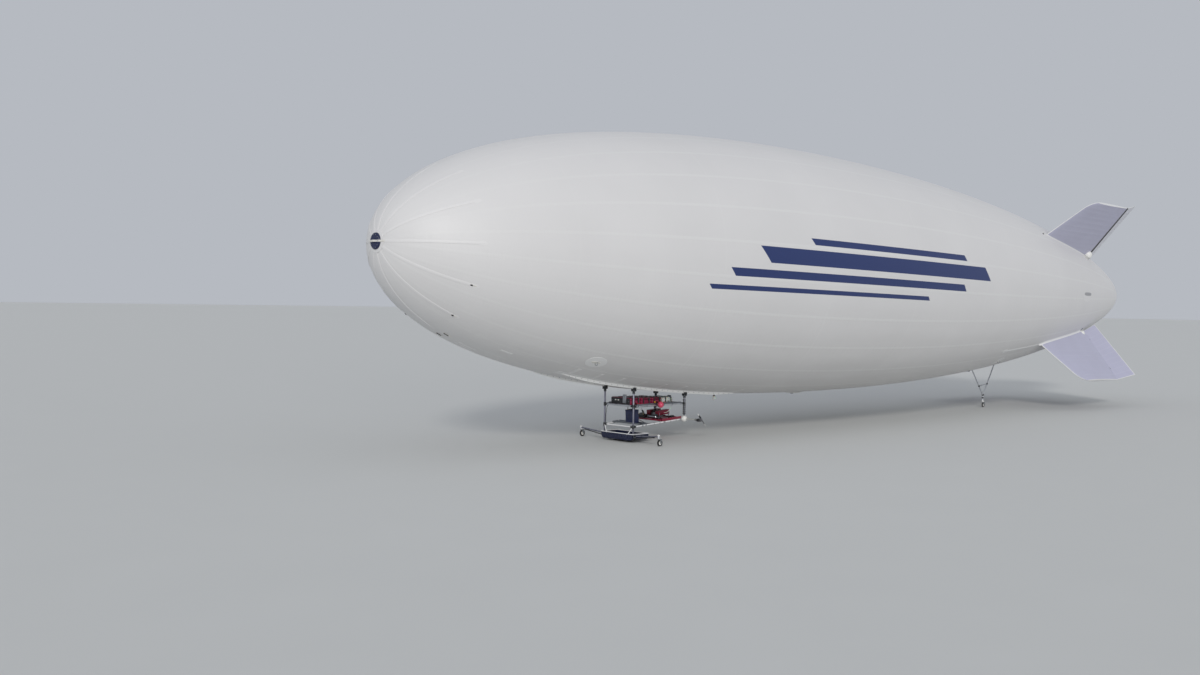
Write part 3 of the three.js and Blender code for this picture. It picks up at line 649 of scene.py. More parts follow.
def skin_frames(stations, turn_at, out=0.0):
    """Frames along the skin with y out of it; the turn is a number, or worked out from each station."""
    spots = [(s, turn_at(s) if callable(turn_at) else turn_at) for s in stations]
    return frames_along([skin(s, t, out) for s, t in spots], [normal_at(s, t) for s, t in spots])


def wrap(part, station, turn):
    """Lays flat work (x aft, y towards port round the skin, z out) on the skin."""
    slant = math.sqrt(1 + slope_at(station) ** 2)
    for v in part.verts:
        s = station + v.co.x / slant
        v.co = skin(s, turn + v.co.y / max(radius_at(s), 0.05), v.co.z)
    return part


def tape_on_skin(stations, degrees, wide, thick):
    """A flat tape along the skin at one turn, with round edges."""
    frames = skin_frames(stations, math.radians(degrees), thick * 0.3)
    return sweep(oblong(wide, thick, thick * 0.45, 2), frames)


# The envelope.

def make_envelope():
    """The skin in its gores, closed at the tail, with a flat face behind the nose disc."""
    count = 150
    first = NOSE_HOLE ** 2 * LENGTH / (4 * FULLNESS[0] * RADIUS ** 2)
    shares = [(1 - math.cos(math.pi * i / count)) / 2 for i in range(count + 1)]
    stations = [mix(first, LENGTH, share) for share in shares]
    work = turn_line([(-s, 0, radius_at(s)) for s in stations], (1, 0, 0), GORES * GORE_STEPS, 1e-5)
    bmesh.ops.holes_fill(work, edges=[e for e in work.edges if e.is_boundary], sides=0)
    station_layer, seam_layer, arc_layer = (
        work.verts.layers.float.new(name) for name in ("station", "from_seam", "side_arc"))
    for v in work.verts:
        station, turn = -v.co.x, math.atan2(v.co.y, v.co.z)
        radius = radius_at(station)
        share = gore_share(turn)
        v[station_layer] = station
        v[seam_layer] = min(share, 1 - share) * FULL_TURN / GORES * radius
        v[arc_layer] = (math.pi / 2 - abs(turn)) * radius
        v.co = skin(station, turn)
    Piece("envelope_skin").put(work, SKIN, sharp=60).set_on("airframe", "envelope", slot="envelope_fabric")


def make_nose():
    """The navy disc with its bolts, eye and white web, and the collar, sleeves and toggles of the battens."""
    nose = HULL @ at((0, 0, 0), AHEAD)
    disc = Piece("nose_disc_plate")
    dish = [(0, -0.04), (0.104, -0.04), (0.105, 0.014), (0.098, 0.022), (0.036, 0.024), (0, 0.024)]
    eye = [(0, 0.02), (0.026, 0.02), (0.026, 0.028), (0.022, 0.034), (0.022, 0.044), (0.018, 0.05), (0, 0.05)]
    disc.put(lathe(dish, 64), NAVY, nose)
    disc.put(lathe(eye, 40), NAVY, nose)
    disc.bolts(0.006, *(nose @ Matrix.Translation(polar(0.084, around, 0.023)) for around in turns(10, 0.5)))
    disc.set_on("airframe", "nose_disc", slot="navy_paint")

    web = Piece("nose_disc_web")
    half = [(0.172, -0.0165), (0.15, -0.0035), (0.13, 0.002), (0.108, 0.0155), (0.098, 0.0255),
            (0.06, 0.0268), (0.031, 0.0285), (0.0245, 0.046), (0.018, 0.0522)]
    route = [(-y, x) for y, x in half] + half[::-1]
    path = [HULL @ Vector((x, y, 0)) for y, x in route]
    web.put(band(oblong(0.026, 0.003, 0.0012, 2), path, AHEAD), WHITE_WEB)
    web.set_on("airframe", slot="white_paint")

    sleeves = Piece("nose_batten_sleeves")
    inside, outside = (
        [(r, out - station_of(r)) for r in (0.108, 0.118, 0.135, 0.149)] for out in (0.001, 0.009))
    sleeves.put(lathe(inside + outside[::-1], 96), SLEEVE_CLOTH, nose)
    front, rear, patch = station_of(0.125), 0.9, 0.87
    stations = [front + (rear - front) * (k / 28) ** 1.6 for k in range(29)]
    tapering = [1] * 26 + [0.9, 0.75, 0.5]
    for turn in turns(12):
        batten = sweep(oblong(0.038, 0.005, 0.0024, 3), skin_frames(stations, turn, 0.001), tapering)
        sleeves.put(batten, SLEEVE_CLOTH)
        sleeves.put(wrap(doubler(0.13, 0.06, 0.0012), patch, turn), SLEEVE_CLOTH)
    sleeves.set_on("airframe", "nose_battens", slot="white_plastic")

    toggles = Piece("batten_toggles")
    for degrees, station, long in ((120, 0.835, 0.03), (150, 0.835, 0.03), (176, 1.065, 0.08),
                                   (-176, 1.065, 0.08), (-150, 0.835, 0.03), (-120, 0.835, 0.03)):
        turn = math.radians(degrees)
        toggles.put(wrap(moved(box((long, 0.016, 0.01), 0.003), (0, 0, 0.007)), station, turn), BLACK_ABS)
        toggles.put(wrap(doubler(long + 0.06, 0.02, 0.004), station + 0.02, turn), WHITE_WEB)
    toggles.set_on("airframe", slot="dark_plastic")


def make_skin_fittings():
    """Patches with rings, tapes, a vent flap, a ring fitting, the tail cap and the gas valve."""
    patches = Piece("handling_patches")
    rings = Piece("handling_rings")
    for s in (3.05, 14.2):
        for sign in SIDES.values():
            turn = sign * math.radians(150)
            patches.put(wrap(doubler(0.34, 0.26), s, turn), TAPE)
            patches.put(wrap(doubler(0.16, 0.05, 0.006), s, turn), WHITE_WEB)
            rings.put(hoop(0.026, 0.0035), ZINC, at(skin(s, turn, 0.02), AFT))
            rings.put(wrap(box((0.03, 0.045, 0.012), 0.003), s, turn), BLACK_WEB_AND_GAP_SHADE)
    patches.set_on("airframe", slot="white_plastic")
    rings.set_on("airframe", slot="fork_steel")

    tapes = Piece("skin_tapes")
    for front, rear, degrees in ((1.3, 1.58, 178), (1.72, 1.9, 163), (1.3, 1.58, -178), (1.72, 1.9, -163)):
        tapes.put(tape_on_skin(steps_between(front, rear, 8), degrees, 0.04, 0.004), TAPE)
    for name in ("lower_left", "lower_right"):
        front, degrees = 13.79, QUARTERS[name]
        tapes.put(tape_on_skin(steps_between(front, 15.5, 24), degrees, 0.045, 0.006), TAPE)
        tapes.put(wrap(doubler(0.2, 0.12), front, math.radians(degrees)), TAPE)
    tapes.set_on("airframe", slot="white_plastic")

    small = Piece("skin_fittings")
    for sign in SIDES.values():
        flap = math.radians(93) * sign
        small.put(wrap(doubler(0.52, 0.2, 0.0012, 0.9), 17.1, flap + sign * 0.05), SLEEVE_CLOTH)
        small.put(wrap(doubler(0.5, 0.07, 0.005, 0.6), 17.14, flap), GREY_TAPE)
        base = on_skin(17.95, math.radians(135) * sign)
        flange = [(0.03, -0.004), (0.056, -0.004), (0.056, 0.008), (0.046, 0.014), (0.03, 0.014)]
        small.put(lathe(flange, 40), SHEET, base)
        small.put(ring(0, 0.03, 0, 0.006, 32), WHITE_ABS, base)
        small.put(globe(0.014, 20), BLACK_ABS, skin(15.285, math.radians(47.4) * sign, 0.004))
    small.set_on("airframe", slot="dark_plastic")

    cap = Piece("tail_cap")
    stations = [LENGTH - 0.16 * (k / 10) ** 2 for k in range(11)]
    outside = [(radius_at(s), -s) for s in stations]
    profile = [(r + 0.003 * (r > 0), x - 0.004) for r, x in outside]
    profile += [(max(0, r - 0.012), x + 0.006) for r, x in outside[::-1]]
    cap.put(lathe(profile, 72), TAPE, HULL @ at((0, 0, 0), AHEAD))
    cap.set_on("airframe", slot="white_plastic")

    # The gas valve is under the belly, between the load rails and the tail gear.
    valve = Piece("gas_valve")
    spot = on_skin(8.6, math.pi, -0.004)
    dish = [(0, 0), (0.17, 0), (0.17, 0.006), (0.15, 0.012), (0.135, 0.012), (0.125, 0.02), (0, 0.02)]
    valve.put(lathe(dish, 56), WHITE_ABS, spot)
    knob = [(0, 0.02), (0.03, 0.02), (0.03, 0.03), (0.024, 0.036), (0, 0.036)]
    valve.put(lathe(knob, 32), BLACK_ABS, spot)
    for around in turns(12):
        valve.bolts(0.005, spot @ Matrix.Translation(polar(0.158, around, 0.009)))
        valve.put(box((0.085, 0.006, 0.006), 0.002), WHITE_ABS, spot @ out_from(around, (0.078, 0, 0.021)))
    valve.set_on("airframe", slot="white_plastic")


# The tail.

def lens(c):
    """Half thickness of a smooth wing section, as a share of its full thickness, at a share of its chord."""
    return 5 * (0.2969 * math.sqrt(c) - 0.126 * c - 0.3516 * c ** 2 + 0.2843 * c ** 3 - 0.1036 * c ** 4)


def out_share(r, root):
    """How far out a distance from the axis lies, from a root to the fins' tips."""
    return (r - root) / (FIN_TIP - root)


def hinge_at(r):
    """Station of the hinge line at a distance from the axis."""
    return mix(HINGE["root"], HINGE["tip"], out_share(r, HINGE["root_r"]))


def fin_front(r):
    """Station of a fin's front edge: straight, then rounded into the tip."""
    straight = mix(FIN_FRONT["root"], FIN_FRONT["tip"], out_share(r, FIN_FRONT["root_r"]))
    over = min(1, max(0, r - (FIN_TIP - FIN_CORNER["tall"])) / FIN_CORNER["tall"])
    return straight + FIN_CORNER["deep"] * (1 - math.sqrt(1 - over * over))


def fin_thick(r):
    return mix(FIN_THICK["root"], FIN_THICK["tip"], max(0, out_share(r, FIN_THICK["root_r"])))


def tip_round(r, tip, depth):
    """How much of its thickness a tail surface keeps near its rounded tip."""
    over = min(1, max(0, 1 - (tip - r) / depth))
    return max(0.2, math.sqrt(1 - over * over))


def quarter_frame(turn):
    return HULL @ Matrix.Rotation(-turn, 4, "X")


def hinge_frame(quarter, r):
    """On the hinge line: z along it, x forward."""
    slant = math.atan2(HINGE["root"] - HINGE["tip"], FIN_TIP - HINGE["root_r"])
    return quarter @ Matrix.Translation((-hinge_at(r), 0, r)) @ Matrix.Rotation(slant, 4, "Y")


def clothed(section, levels, place, zone):
    """A section (chord share, half thickness) carried out through span levels, sagging between its ribs."""
    work = sweep(section, [Matrix.Translation((0, 0, level)) for level in levels])
    rib = work.verts.layers.float.new("from_rib")
    for face in work.faces:
        face.material_index = zone(*face.calc_center_median())
    for v in work.verts:
        share = v.co.z / RIB_PITCH % 1
        v[rib] = min(share, 1 - share) * RIB_PITCH
        v.co = place(*v.co, RIB_SAG * 4 * share * (1 - share))
    return work


def make_fin(name, turn):
    quarter = quarter_frame(turn)
    shares = [0, 0.002, 0.006, 0.02, 0.04, 0.065, 0.1, 0.15, 0.22, 0.3, 0.4, 0.5, 0.6, 0.7, 0.8, 0.9, 0.98, 1]
    section = [(c, lens(c * SECTION_CUT)) for c in shares]
    section += [(c, -h) for c, h in section[:0:-1]]
    tall = FIN_CORNER["tall"]
    levels = steps_between(8 * RIB_PITCH, FIN_TIP - tall, 40)
    levels += [FIN_TIP - tall + tall * math.sin(math.pi / 2 * k / 14) for k in range(1, 15)]
    below = 1 if name.endswith("left") else -1

    def place(c, half, r, sag):
        thick = (fin_thick(r) - sag) * tip_round(r, FIN_TIP, 0.016)
        return quarter @ Vector((-mix(fin_front(r), hinge_at(r) - HINGE_ROOM, c), half * thick, r))

    def zone(c, half, r):
        """Black painted shade in the hinge gap, on the rear face and the lower side's rear edge; tape at the
        front edge and the tip; and cloth.
        """
        # Painted shade: the rear face and the lower side's rear edge go black to darken the hinge gap.
        if c > 0.999 or c > 0.98 and half * below > 0:
            return 2
        return 1 if c < 0.006 or r > FIN_TIP - 0.014 else 0

    cover = Piece(f"fin_{name}_cover")
    cover.put(clothed(section, levels, place, zone), [FIN_CLOTH, TAPE, BLACK_WEB_AND_GAP_SHADE], sharp=50)
    cover.set_on("airframe", f"fin_{name}", slot="fin_fabric")

    # Skirts welded along both sides of the root, and the hinge's tabs.
    fittings = Piece(f"fin_{name}_fittings")
    leg = 0.02 if name.startswith("upper") else 0.035
    hollow = [(-leg + leg * math.sin(a), leg - leg * math.cos(a)) for a in steps_between(0, math.pi / 2, 6)]
    skirt = hollow[::-1] + [(-leg, -0.004), (0.006, -0.004), (0.006, leg)]
    for sign in SIDES.values():
        def beside(s):
            r = radius_at(s)
            c = max(0, (s - fin_front(r)) / (hinge_at(r) - HINGE_ROOM - fin_front(r)))
            return turn + sign * lens(c * SECTION_CUT) * fin_thick(r) / r

        frames = skin_frames(steps_between(15.44, 18.1, 40), beside)
        fittings.put(sweep([(sign * x, y) for x, y in skirt], frames), TAPE)
    for r in TAB_R:
        tab = hinge_frame(quarter, r)
        fittings.put(box((0.06, 0.012, 0.008), 0.001), ZINC, tab @ Matrix.Translation((0.038, 0, 0)))
        fittings.put(rod(0.01, 0.008, 24, rounded=0.001), ZINC, tab @ Matrix.Translation((0, 0, -0.004)))
        fittings.put(box((0.004, 0.034, 0.05), 0.001), ZINC, tab @ Matrix.Translation((0.03, 0, 0)))
        fittings.bolts(0.004, *(tab @ at((0.028, 0, up), AFT) for up in (-0.017, 0.017)))
    fittings.set_on("airframe", slot="fork_steel")

    # The fairing of the rudder's drive, half sunk in the skin ahead of the hinge.
    fairing = Piece(f"rudder_drive_{name}")
    middle = quarter @ Matrix.Translation((0.17 - HINGE["root"], below * 0.04, HINGE["root_r"] + 0.1))
    fairing.put(globe(0.094, 44), WHITE_ABS, middle)
    fairing.put(hoop(0.0925, 0.003, 52), SHEET, middle @ at((0, 0, -0.02)))
    fairing.put(rod(0.012, 0.036, 20, rounded=0.002), BLACK_ABS, middle @ at((-0.08, 0, 0.022), (-1, 0, 0.2)))
    spots = [polar(0.087, around, -0.036) for around in turns(6, 0.5)]
    fairing.bolts(0.0035, *(middle @ at(spot, spot) for spot in spots))
    fairing.set_on("airframe", slot="white_plastic")


def make_rudder(name, turn):
    quarter = quarter_frame(turn)
    rest = RUDDER_REST if name.endswith("left") else -RUDDER_REST
    foot = hinge_frame(quarter, RUDDER_ROOT)
    hinge = foot @ Matrix.Rotation(rest, 4, "Z") @ foot.inverted()
    edge_share = 0.28
    upper = [(-math.cos(a), math.sin(a)) for a in steps_between(0, math.pi / 2, 6)]
    upper += [(c, mix(1, edge_share, c)) for c in (0.03, 0.08, 0.2, 0.3, 0.4, 0.5, 0.6, 0.7, 0.8, 0.88, 0.96)]
    upper += [(0.996, edge_share), (1, edge_share * 0.6)]
    section = upper + [(c, -h) for c, h in upper[:0:-1]]
    half_slot, slot_wall, slot_depth = 0.008, 1e-4, 0.015
    slots = [r + edge for r in TAB_R
             for edge in (-half_slot - slot_wall, -half_slot, half_slot, half_slot + slot_wall)]
    even = [RIB_PITCH / 4 * k for k in range(38, 80)]
    levels = [r for r in even if all(abs(r - s) > 0.003 for s in slots)]
    near_ends = [RUDDER_ROOT, 1.206] + [RUDDER_TIP - inside for inside in (0.009, 0.004, 0.0015, 0)]
    levels = sorted(levels + slots + near_ends)

    def place(c, half, r, sag):
        t = (r - RUDDER_ROOT) / (RUDDER_TIP - RUDDER_ROOT)
        nose = mix(*RUDDER_NOSE, t)
        aft = c * (nose if c <= 0 else mix(*RUDDER_CHORD, t))
        if min(abs(r - tab) for tab in TAB_R) < half_slot + slot_wall / 2:
            aft = max(aft, slot_depth)
        reach = r - 0.2 * max(aft, 0) * (1 - t)
        thick = (nose - sag * 0.25 * max(0, min(1, c * 4))) * tip_round(r, RUDDER_TIP, 0.009)
        return hinge @ quarter @ Vector((-(hinge_at(reach) + aft), half * thick, reach))

    def zone(c, half, r):
        """Black painted shade at the nose of the lower side, cloth painted pale as painted light on the rest
        of the lower side, tape at the rear edge and the tip, and cloth.
        """
        below = half * rest > 0
        # Painted shade: black along the lower side of the rudder's rounded nose, in the hinge gap.
        if c < 0.03 and below:
            return 2
        if c > 0.94 or r > RUDDER_TIP - 0.012:
            return 1
        # Painted light: the rest of the lower side gets the pale cloth.
        return 3 if below else 0

    cover = Piece(f"rudder_{name}_cover")
    cover.put(clothed(section, levels, place, zone), [FIN_CLOTH, TAPE, BLACK_WEB_AND_GAP_SHADE, RUDDER_PAINTED_LIGHT_CLOTH], sharp=50)
    cover.set_on(f"rudder_{name}", f"rudder_{name}", slot="fin_fabric")
    pins = Piece(f"rudder_{name}_pins")
    for r in TAB_R:
        pins.put(rod(0.005, 0.04, 16), ZINC, hinge @ hinge_frame(quarter, r) @ at((0, 0, -0.02)))
    pins.set_on(f"rudder_{name}", slot="fork_steel")


# The gondola.

def centre(node):
    low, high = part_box(node)
    return (low + high) / 2


def belly(station, y=0.0):
    """Height of the envelope's underside in the level frame."""
    return NOSE.z - station * math.sin(PITCH) - math.sqrt(radius_at(station) ** 2 - y * y)


def make_load_rails():
    """White rails along the belly, laced to base strips that are welded to the skin."""
    front, rear, wide = RAIL["front"], RAIL["rear"], RAIL["wide"]
    ramp = (rear - front) / 8

    def turn_beside(s, outboard):
        """The turn at which the skin lies some metres outboard of the rail's middle."""
        return math.pi - math.asin((HALF_WIDTH + outboard) / radius_at(s))

    for side, sign in SIDES.items():
        y = sign * HALF_WIDTH
        rail = Piece(f"load_rail_{side}_beam")
        path = []
        for s in steps_between(front, rear, 48):
            tall = RAIL["tall"] * mix(0.4, 1, min(1, min(s - front, rear - s) / ramp))
            path.append((NOSE.x - s, y, belly(s, HALF_WIDTH) - tall + 0.0285))
        rail.put(band(oblong(wide, 0.057, 0.006), path), RAIL_PVC)
        rail.set_on("airframe", f"load_rail_{side}", slot="white_plastic")

        lacing = Piece(f"load_rail_{side}_lacing")
        for s in steps_between(front + 0.12, rear - 0.12, 29):
            for way in (-1, 1):
                spot = (NOSE.x - s, y + way * wide / 2, belly(s, HALF_WIDTH) - 0.021)
                lacing.put(rod(0.006, 0.002, 14, rounded=0.0006), ZINC, at(spot, PORT * way))
        lacing.set_on("airframe", slot="fork_steel")

        strips = Piece(f"load_rail_{side}_strips")
        for outboard in (-0.043, 0.043):
            frames = skin_frames(steps_between(front - 0.1, rear + 0.1, 48),
                                 lambda s: sign * turn_beside(s, outboard), 0.0005)
            strips.put(sweep(oblong(0.055, 0.004, 0.0016, 2), frames), TAPE)
        for s in steps_between(front + 0.08, rear - 0.08, 8):
            patch = doubler(0.06, 0.26, 0.003, 0.15)
            strips.put(wrap(patch, s, sign * turn_beside(s, 0.19)), SLEEVE_CLOTH)
        strips.set_on("airframe", slot="white_plastic")


def lower_rail(x):
    """Height of the lower side rails at an x between the posts."""
    return mix(LOWER_Z[0], LOWER_Z[1], (POST_X[0] - x) / (POST_X[0] - POST_X[1]))


def frame_tube(name, node, a, b, radius, finish, sides=28, rounded=0.0):
    Piece(name).bar(a, b, radius, finish, sides, rounded).set_on("airframe", node, slot="frame_tube")


def make_frame_tubes():
    """Posts in clamps under the load rails, side rails and cross tubes, and the sleeves that join them."""
    for side, sign in SIDES.items():
        y = sign * HALF_WIDTH
        sleeves = Piece(f"tube_sleeves_{side}")
        for end, x in zip(("front", "rear"), POST_X):
            node = f"{end}_post_{side}"
            low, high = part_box(node)
            top = Vector((x, y, high.z))
            frame_tube(f"{node}_tube", node, (x, y, low.z), top - UP * 0.01, POST_R, GREY_TUBE, 32, 0.001)
            clamp = Piece(f"{end}_clamp_{side}")
            clamp.put(box((0.07, 0.034, 0.032), 0.003), BLACK_ABS, top - UP * 0.0165)
            for way in (-1, 1):
                jaw = box((0.07, 0.0075, 0.056), 0.0022)
                clamp.put(jaw, BLACK_ABS, top + Vector((0, way * 0.0195, -0.006)))
                clamp.bolts(0.0045, *(at(top + Vector((along, way * 0.0232, up)), PORT * way)
                                      for along in (-0.022, 0.022) for up in (-0.02, 0.011)))
            clamp.collar(top - UP * 0.05, UP, POST_R + 0.006, 0.04, BLACK_ABS)
            clamp.set_on("airframe", slot="dark_plastic")
            # At the lower rear corners the thrusters' balls take the place of sleeves.
            inward = 1 if end == "rear" else -1
            for z in (DECK_Z,) if end == "rear" else (DECK_Z, lower_rail(x)):
                sleeves.collar((x, y, z), UP, POST_R + 0.005, 0.056, BLACK_ABS)
                sleeves.collar((x + inward * 0.034, y, z), AFT, TUBE_R + 0.004, 0.036, BLACK_ABS)
                sleeves.collar((x, y - sign * 0.034, z), PORT, TUBE_R + 0.004, 0.036, BLACK_ABS)
        sleeves.set_on("airframe", slot="dark_plastic")

        for level, finish in (("deck", ALUMINIUM), ("lower", WHITE_COAT)):
            node = f"{level}_rail_{side}"
            low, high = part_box(node)
            front, rear = ((x, y, DECK_Z if level == "deck" else lower_rail(x)) for x in (high.x, low.x))
            frame_tube(f"{node}_tube", node, front, rear, TUBE_R, finish)
    for node in ("front_lower_tube", "front_deck_tube", "rear_lower_tube", "rear_deck_tube"):
        low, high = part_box(node)
        mid = centre(node)
        frame_tube(f"{node}_bar", node, (mid.x, low.y, mid.z), (mid.x, high.y, mid.z), TUBE_R,
                   ALUMINIUM if "deck" in node else WHITE_COAT)


def trough_outline(half, low, high, corner):
    """The pan seen from ahead: open at the top, with round lower corners."""
    bend = [(half - corner + corner * math.cos(a), low + corner - corner * math.sin(a))
            for a in steps_between(0, math.pi / 2, 8)]
    return [(-half, high)] + [(-y, z) for y, z in bend] + bend[::-1] + [(half, high)]


def make_pan():
    """A shallow pan under the front of the frame, with a rim, ribs, stays, post seats and a rubber skid."""
    low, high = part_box("front_pan")
    half, wall = high.y, 0.004
    outside = trough_outline(half, low.z, PAN_RIM, 0.06)
    inside = trough_outline(half - wall, low.z + wall, PAN_RIM, 0.056)
    stand = Matrix(((0, 0, 1, low.x), (1, 0, 0, 0), (0, 1, 0, 0), (0, 0, 0, 1)))
    pan = Piece("front_pan_shell")
    pan.put(plate(outside + inside[::-1], PAN_FRONT - low.x), NAVY_GLOSS, stand)
    for x in (low.x, PAN_FRONT - wall):
        pan.put(plate(outside, wall), NAVY_GLOSS, Matrix.Translation((x - low.x, 0, 0)) @ stand)
    for along in (0.09, 0.17, 0.25):
        rib = box((0.016, 2 * half - 0.14, 0.008), 0.003)
        pan.put(rib, NAVY_GLOSS, (low.x + along, 0, low.z + wall))
    pan.set_on("airframe", "front_pan", slot="dark_plastic")

    trim = Piece("front_pan_rim")
    inset = 0.002
    corners = [(low.x, -half), (PAN_FRONT, -half), (PAN_FRONT, half), (low.x, half)]
    loop = [Vector((mix(x, (low.x + PAN_FRONT) / 2, inset), y * (1 - inset), PAN_RIM)) for x, y in corners]
    for a, b in zip(loop, loop[1:] + loop[:1]):
        trim.bar(a, b, 0.007, WHITE_COAT, 16)
    for spot in loop:
        trim.put(globe(0.007, 16), WHITE_COAT, spot)
    trim.set_on("airframe", slot="frame_tube")

    seats = Piece("front_pan_stays")
    x = POST_X[0]
    for sign in SIDES.values():
        y = sign * HALF_WIDTH
        seats.put(box((0.06, 0.044, 0.058), 0.004), BLACK_ABS, (x, y - sign * 0.001, low.z + 0.033))
        seats.collar((x, y, 0.112), UP, POST_R + 0.006, 0.034, BLACK_ABS)
        stay = [(x + 0.004, y - sign * 0.004, LOWER_Z[0] - 0.006), (x + 0.012, y - sign * 0.03, 0.2),
                (x + 0.026, y - sign * 0.062, 0.152), (PAN_FRONT - 0.004, y - sign * 0.092, 0.118)]
        seats.put(pipe(stay, 0.008, 14, 8), WHITE_COAT)
        seats.bolts(0.006, at((PAN_FRONT + 0.001, y - sign * 0.092, 0.118), AHEAD))
        seats.bolts(0.0045, *((x + along, y - sign * 0.001, low.z + 0.062) for along in (-0.018, 0.018)))
    seats.set_on("airframe", slot="frame_tube")

    skid = Piece("front_pan_skid")
    runner = [(low.x + 0.03, 0.004), (low.x + 0.06, -0.008),
              (PAN_FRONT - 0.06, -0.008), (PAN_FRONT - 0.02, 0.006)]
    for sign in SIDES.values():
        path = smooth([(x, sign * 0.2, low.z + up) for x, up in runner])
        skid.put(band(oblong(0.03, 0.014, 0.005), path), RUBBER)
    skid.set_on("airframe", slot="wheel_rubber")


def make_case(name, gland_side):
    """A battery case: base, ribbed lid, latches and a handle on both sides, a cable gland and a plug."""
    low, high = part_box(name)
    size = high - low
    mid = centre(name)
    seam = low.z + size.z * 0.62
    case = Piece(f"{name}_case")
    base = box((size.x, size.y, seam - low.z - 0.001), 0.008, 3)
    case.put(base, RED_ABS, (mid.x, mid.y, (low.z + seam) / 2))
    lid = box((size.x + 0.003, size.y + 0.003, high.z - seam), 0.01, 3)
    case.put(lid, RED_ABS, (mid.x, mid.y, (high.z + seam) / 2))
    for k in range(-2, 3):
        rib = box((size.x * 0.7, 0.014, 0.006), 0.0025)
        case.put(rib, RED_ABS, (mid.x, mid.y + size.y * k * 0.17, high.z))
    case.set_on("airframe", name, slot="red_paint")

    fittings = Piece(f"{name}_fittings")
    for sign in SIDES.values():
        for along in (-0.055, 0.055):
            spot = Vector((mid.x + along, mid.y + sign * (size.y / 2 + 0.003), seam))
            fittings.put(box((0.022, 0.006, 0.034), 0.002), BLACK_ABS, spot)
            fittings.put(box((0.016, 0.004, 0.012), 0.0015), ZINC, spot + Vector((0, sign * 0.003, 0.008)))
        grip = [(mid.x + along, mid.y + sign * (size.y / 2 + out), seam + up) for along, out, up in (
            (-0.035, 0, 0.018), (-0.03, 0.018, 0.02), (0.03, 0.018, 0.02), (0.035, 0, 0.018))]
        fittings.put(pipe(grip, 0.004, 10, 5), BLACK_ABS)
    gland = Vector((mid.x, mid.y + gland_side * size.y / 2, low.z + 0.02))
    fittings.put(rod(0.011, 0.016, 6, rounded=0.001), BLACK_ABS, at(gland, PORT * gland_side))
    plug = box((0.034, 0.018, 0.016), 0.002)
    fittings.put(plug, YELLOW_PLUG, gland + Vector((0.05, gland_side * 0.01, 0.002)))
    fittings.set_on("airframe", slot="dark_plastic")


def strap_down(piece, node, wide):
    """Two webbing straps over a part and down both its sides, with buckles on top."""
    low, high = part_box(node)
    half = high.y
    port = [(half + 0.03, low.z), (half + 0.008, low.z + 0.012), (half + 0.006, high.z - 0.012),
            (half - 0.008, high.z + 0.0035)]
    route = port + [(0, high.z + 0.006)] + [(-y, z) for y, z in port[::-1]]
    for along in (-0.06, 0.06):
        x = centre(node).x + along
        path = smooth([(x, y, z) for y, z in route], 5)
        piece.put(band(oblong(0.0025, wide, 0.001, 2), path, AHEAD), BLACK_WEB_AND_GAP_SHADE)
        piece.put(box((wide + 0.012, 0.034, 0.007), 0.002), ZINC, (x, half * 0.45, high.z + 0.008))


def make_deck():
    """The deck sheet on the side rails with its rivets and clips, the payload pad below, and the cases."""
    low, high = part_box("deck")
    size = high - low
    mid = centre("deck")
    sheet = 0.006
    deck = Piece("deck_sheet")
    deck.put(plate(oblong(size.x, size.y, 0.02, 4), sheet), SHEET, (mid.x, 0, high.z - sheet))
    deck.put(box((0.26, 0.26, 0.009), 0.0015), ZINC, (mid.x, 0, low.z + 0.0045))
    for sign in SIDES.values():
        edge = box((size.x - 0.1, 0.012, 0.014), 0.003)
        deck.put(edge, SHEET, (mid.x, sign * (size.y / 2 - 0.008), high.z + 0.006))
    deck.set_on("airframe", "deck", slot="deck_sheet")

    rivets = Piece("deck_rivets")
    for sign in SIDES.values():
        for x in steps_between(low.x + 0.02, high.x - 0.02, 21):
            rivet = lathe([(0, 0), (0.004, 0), (0.0034, 0.0016), (0, 0.0024)], 12)
            rivets.put(rivet, ZINC, (x, sign * (size.y / 2 - 0.028), high.z))
        for x in steps_between(low.x + 0.06, high.x - 0.06, 5):
            spot = Vector((x, sign * HALF_WIDTH, DECK_Z))
            rivets.put(ring(0.0115, 0.0145, -0.008, 0.008), ZINC, at(spot, AFT))
            rivets.put(box((0.016, 0.006, 0.01), 0.0015), ZINC, spot + Vector((0, -sign * 0.016, 0.008)))
    rivets.bolts(0.006, *(at((mid.x + x, y, low.z), -UP) for x in (-0.11, 0.11) for y in (-0.11, 0.11)))
    rivets.set_on("airframe", slot="fork_steel")

    straps = Piece("case_straps")
    for name, gland_side in (("battery_front", 1), ("battery_middle", -1), ("battery_rear", 1)):
        make_case(name, gland_side)
        strap_down(straps, name, 0.025)
    strap_down(straps, "fuel_tank", 0.02)
    straps.set_on("airframe", slot="dark_plastic")

    # An end plate on the front case carries a finned regulator and two plugs.
    low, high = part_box("battery_front")
    face = Vector((high.x + 0.003, 0, (low.z + high.z) / 2))
    end_plate = Piece("case_end_plate")
    end_plate.put(box((0.006, 0.4, 0.088), 0.002), BLACK_ABS, face)
    for y in (-0.1, -0.04):
        end_plate.put(box((0.014, 0.022, 0.016), 0.002), WHITE_ABS, face + Vector((0.008, y, 0.012)))
    end_plate.bolts(0.0045, *(at(face + Vector((0.0028, y, 0)), AHEAD) for y in (-0.18, 0.18)))
    block = face + Vector((0.007, 0.1, 0.036))
    end_plate.put(box((0.01, 0.062, 0.13), 0.002), SHEET, block)
    for k in range(-4, 5):
        end_plate.put(box((0.014, 0.0025, 0.126), 0.0008), ALUMINIUM, block + Vector((0.01, k * 0.007, 0)))
    end_plate.set_on("airframe", slot="dark_plastic")


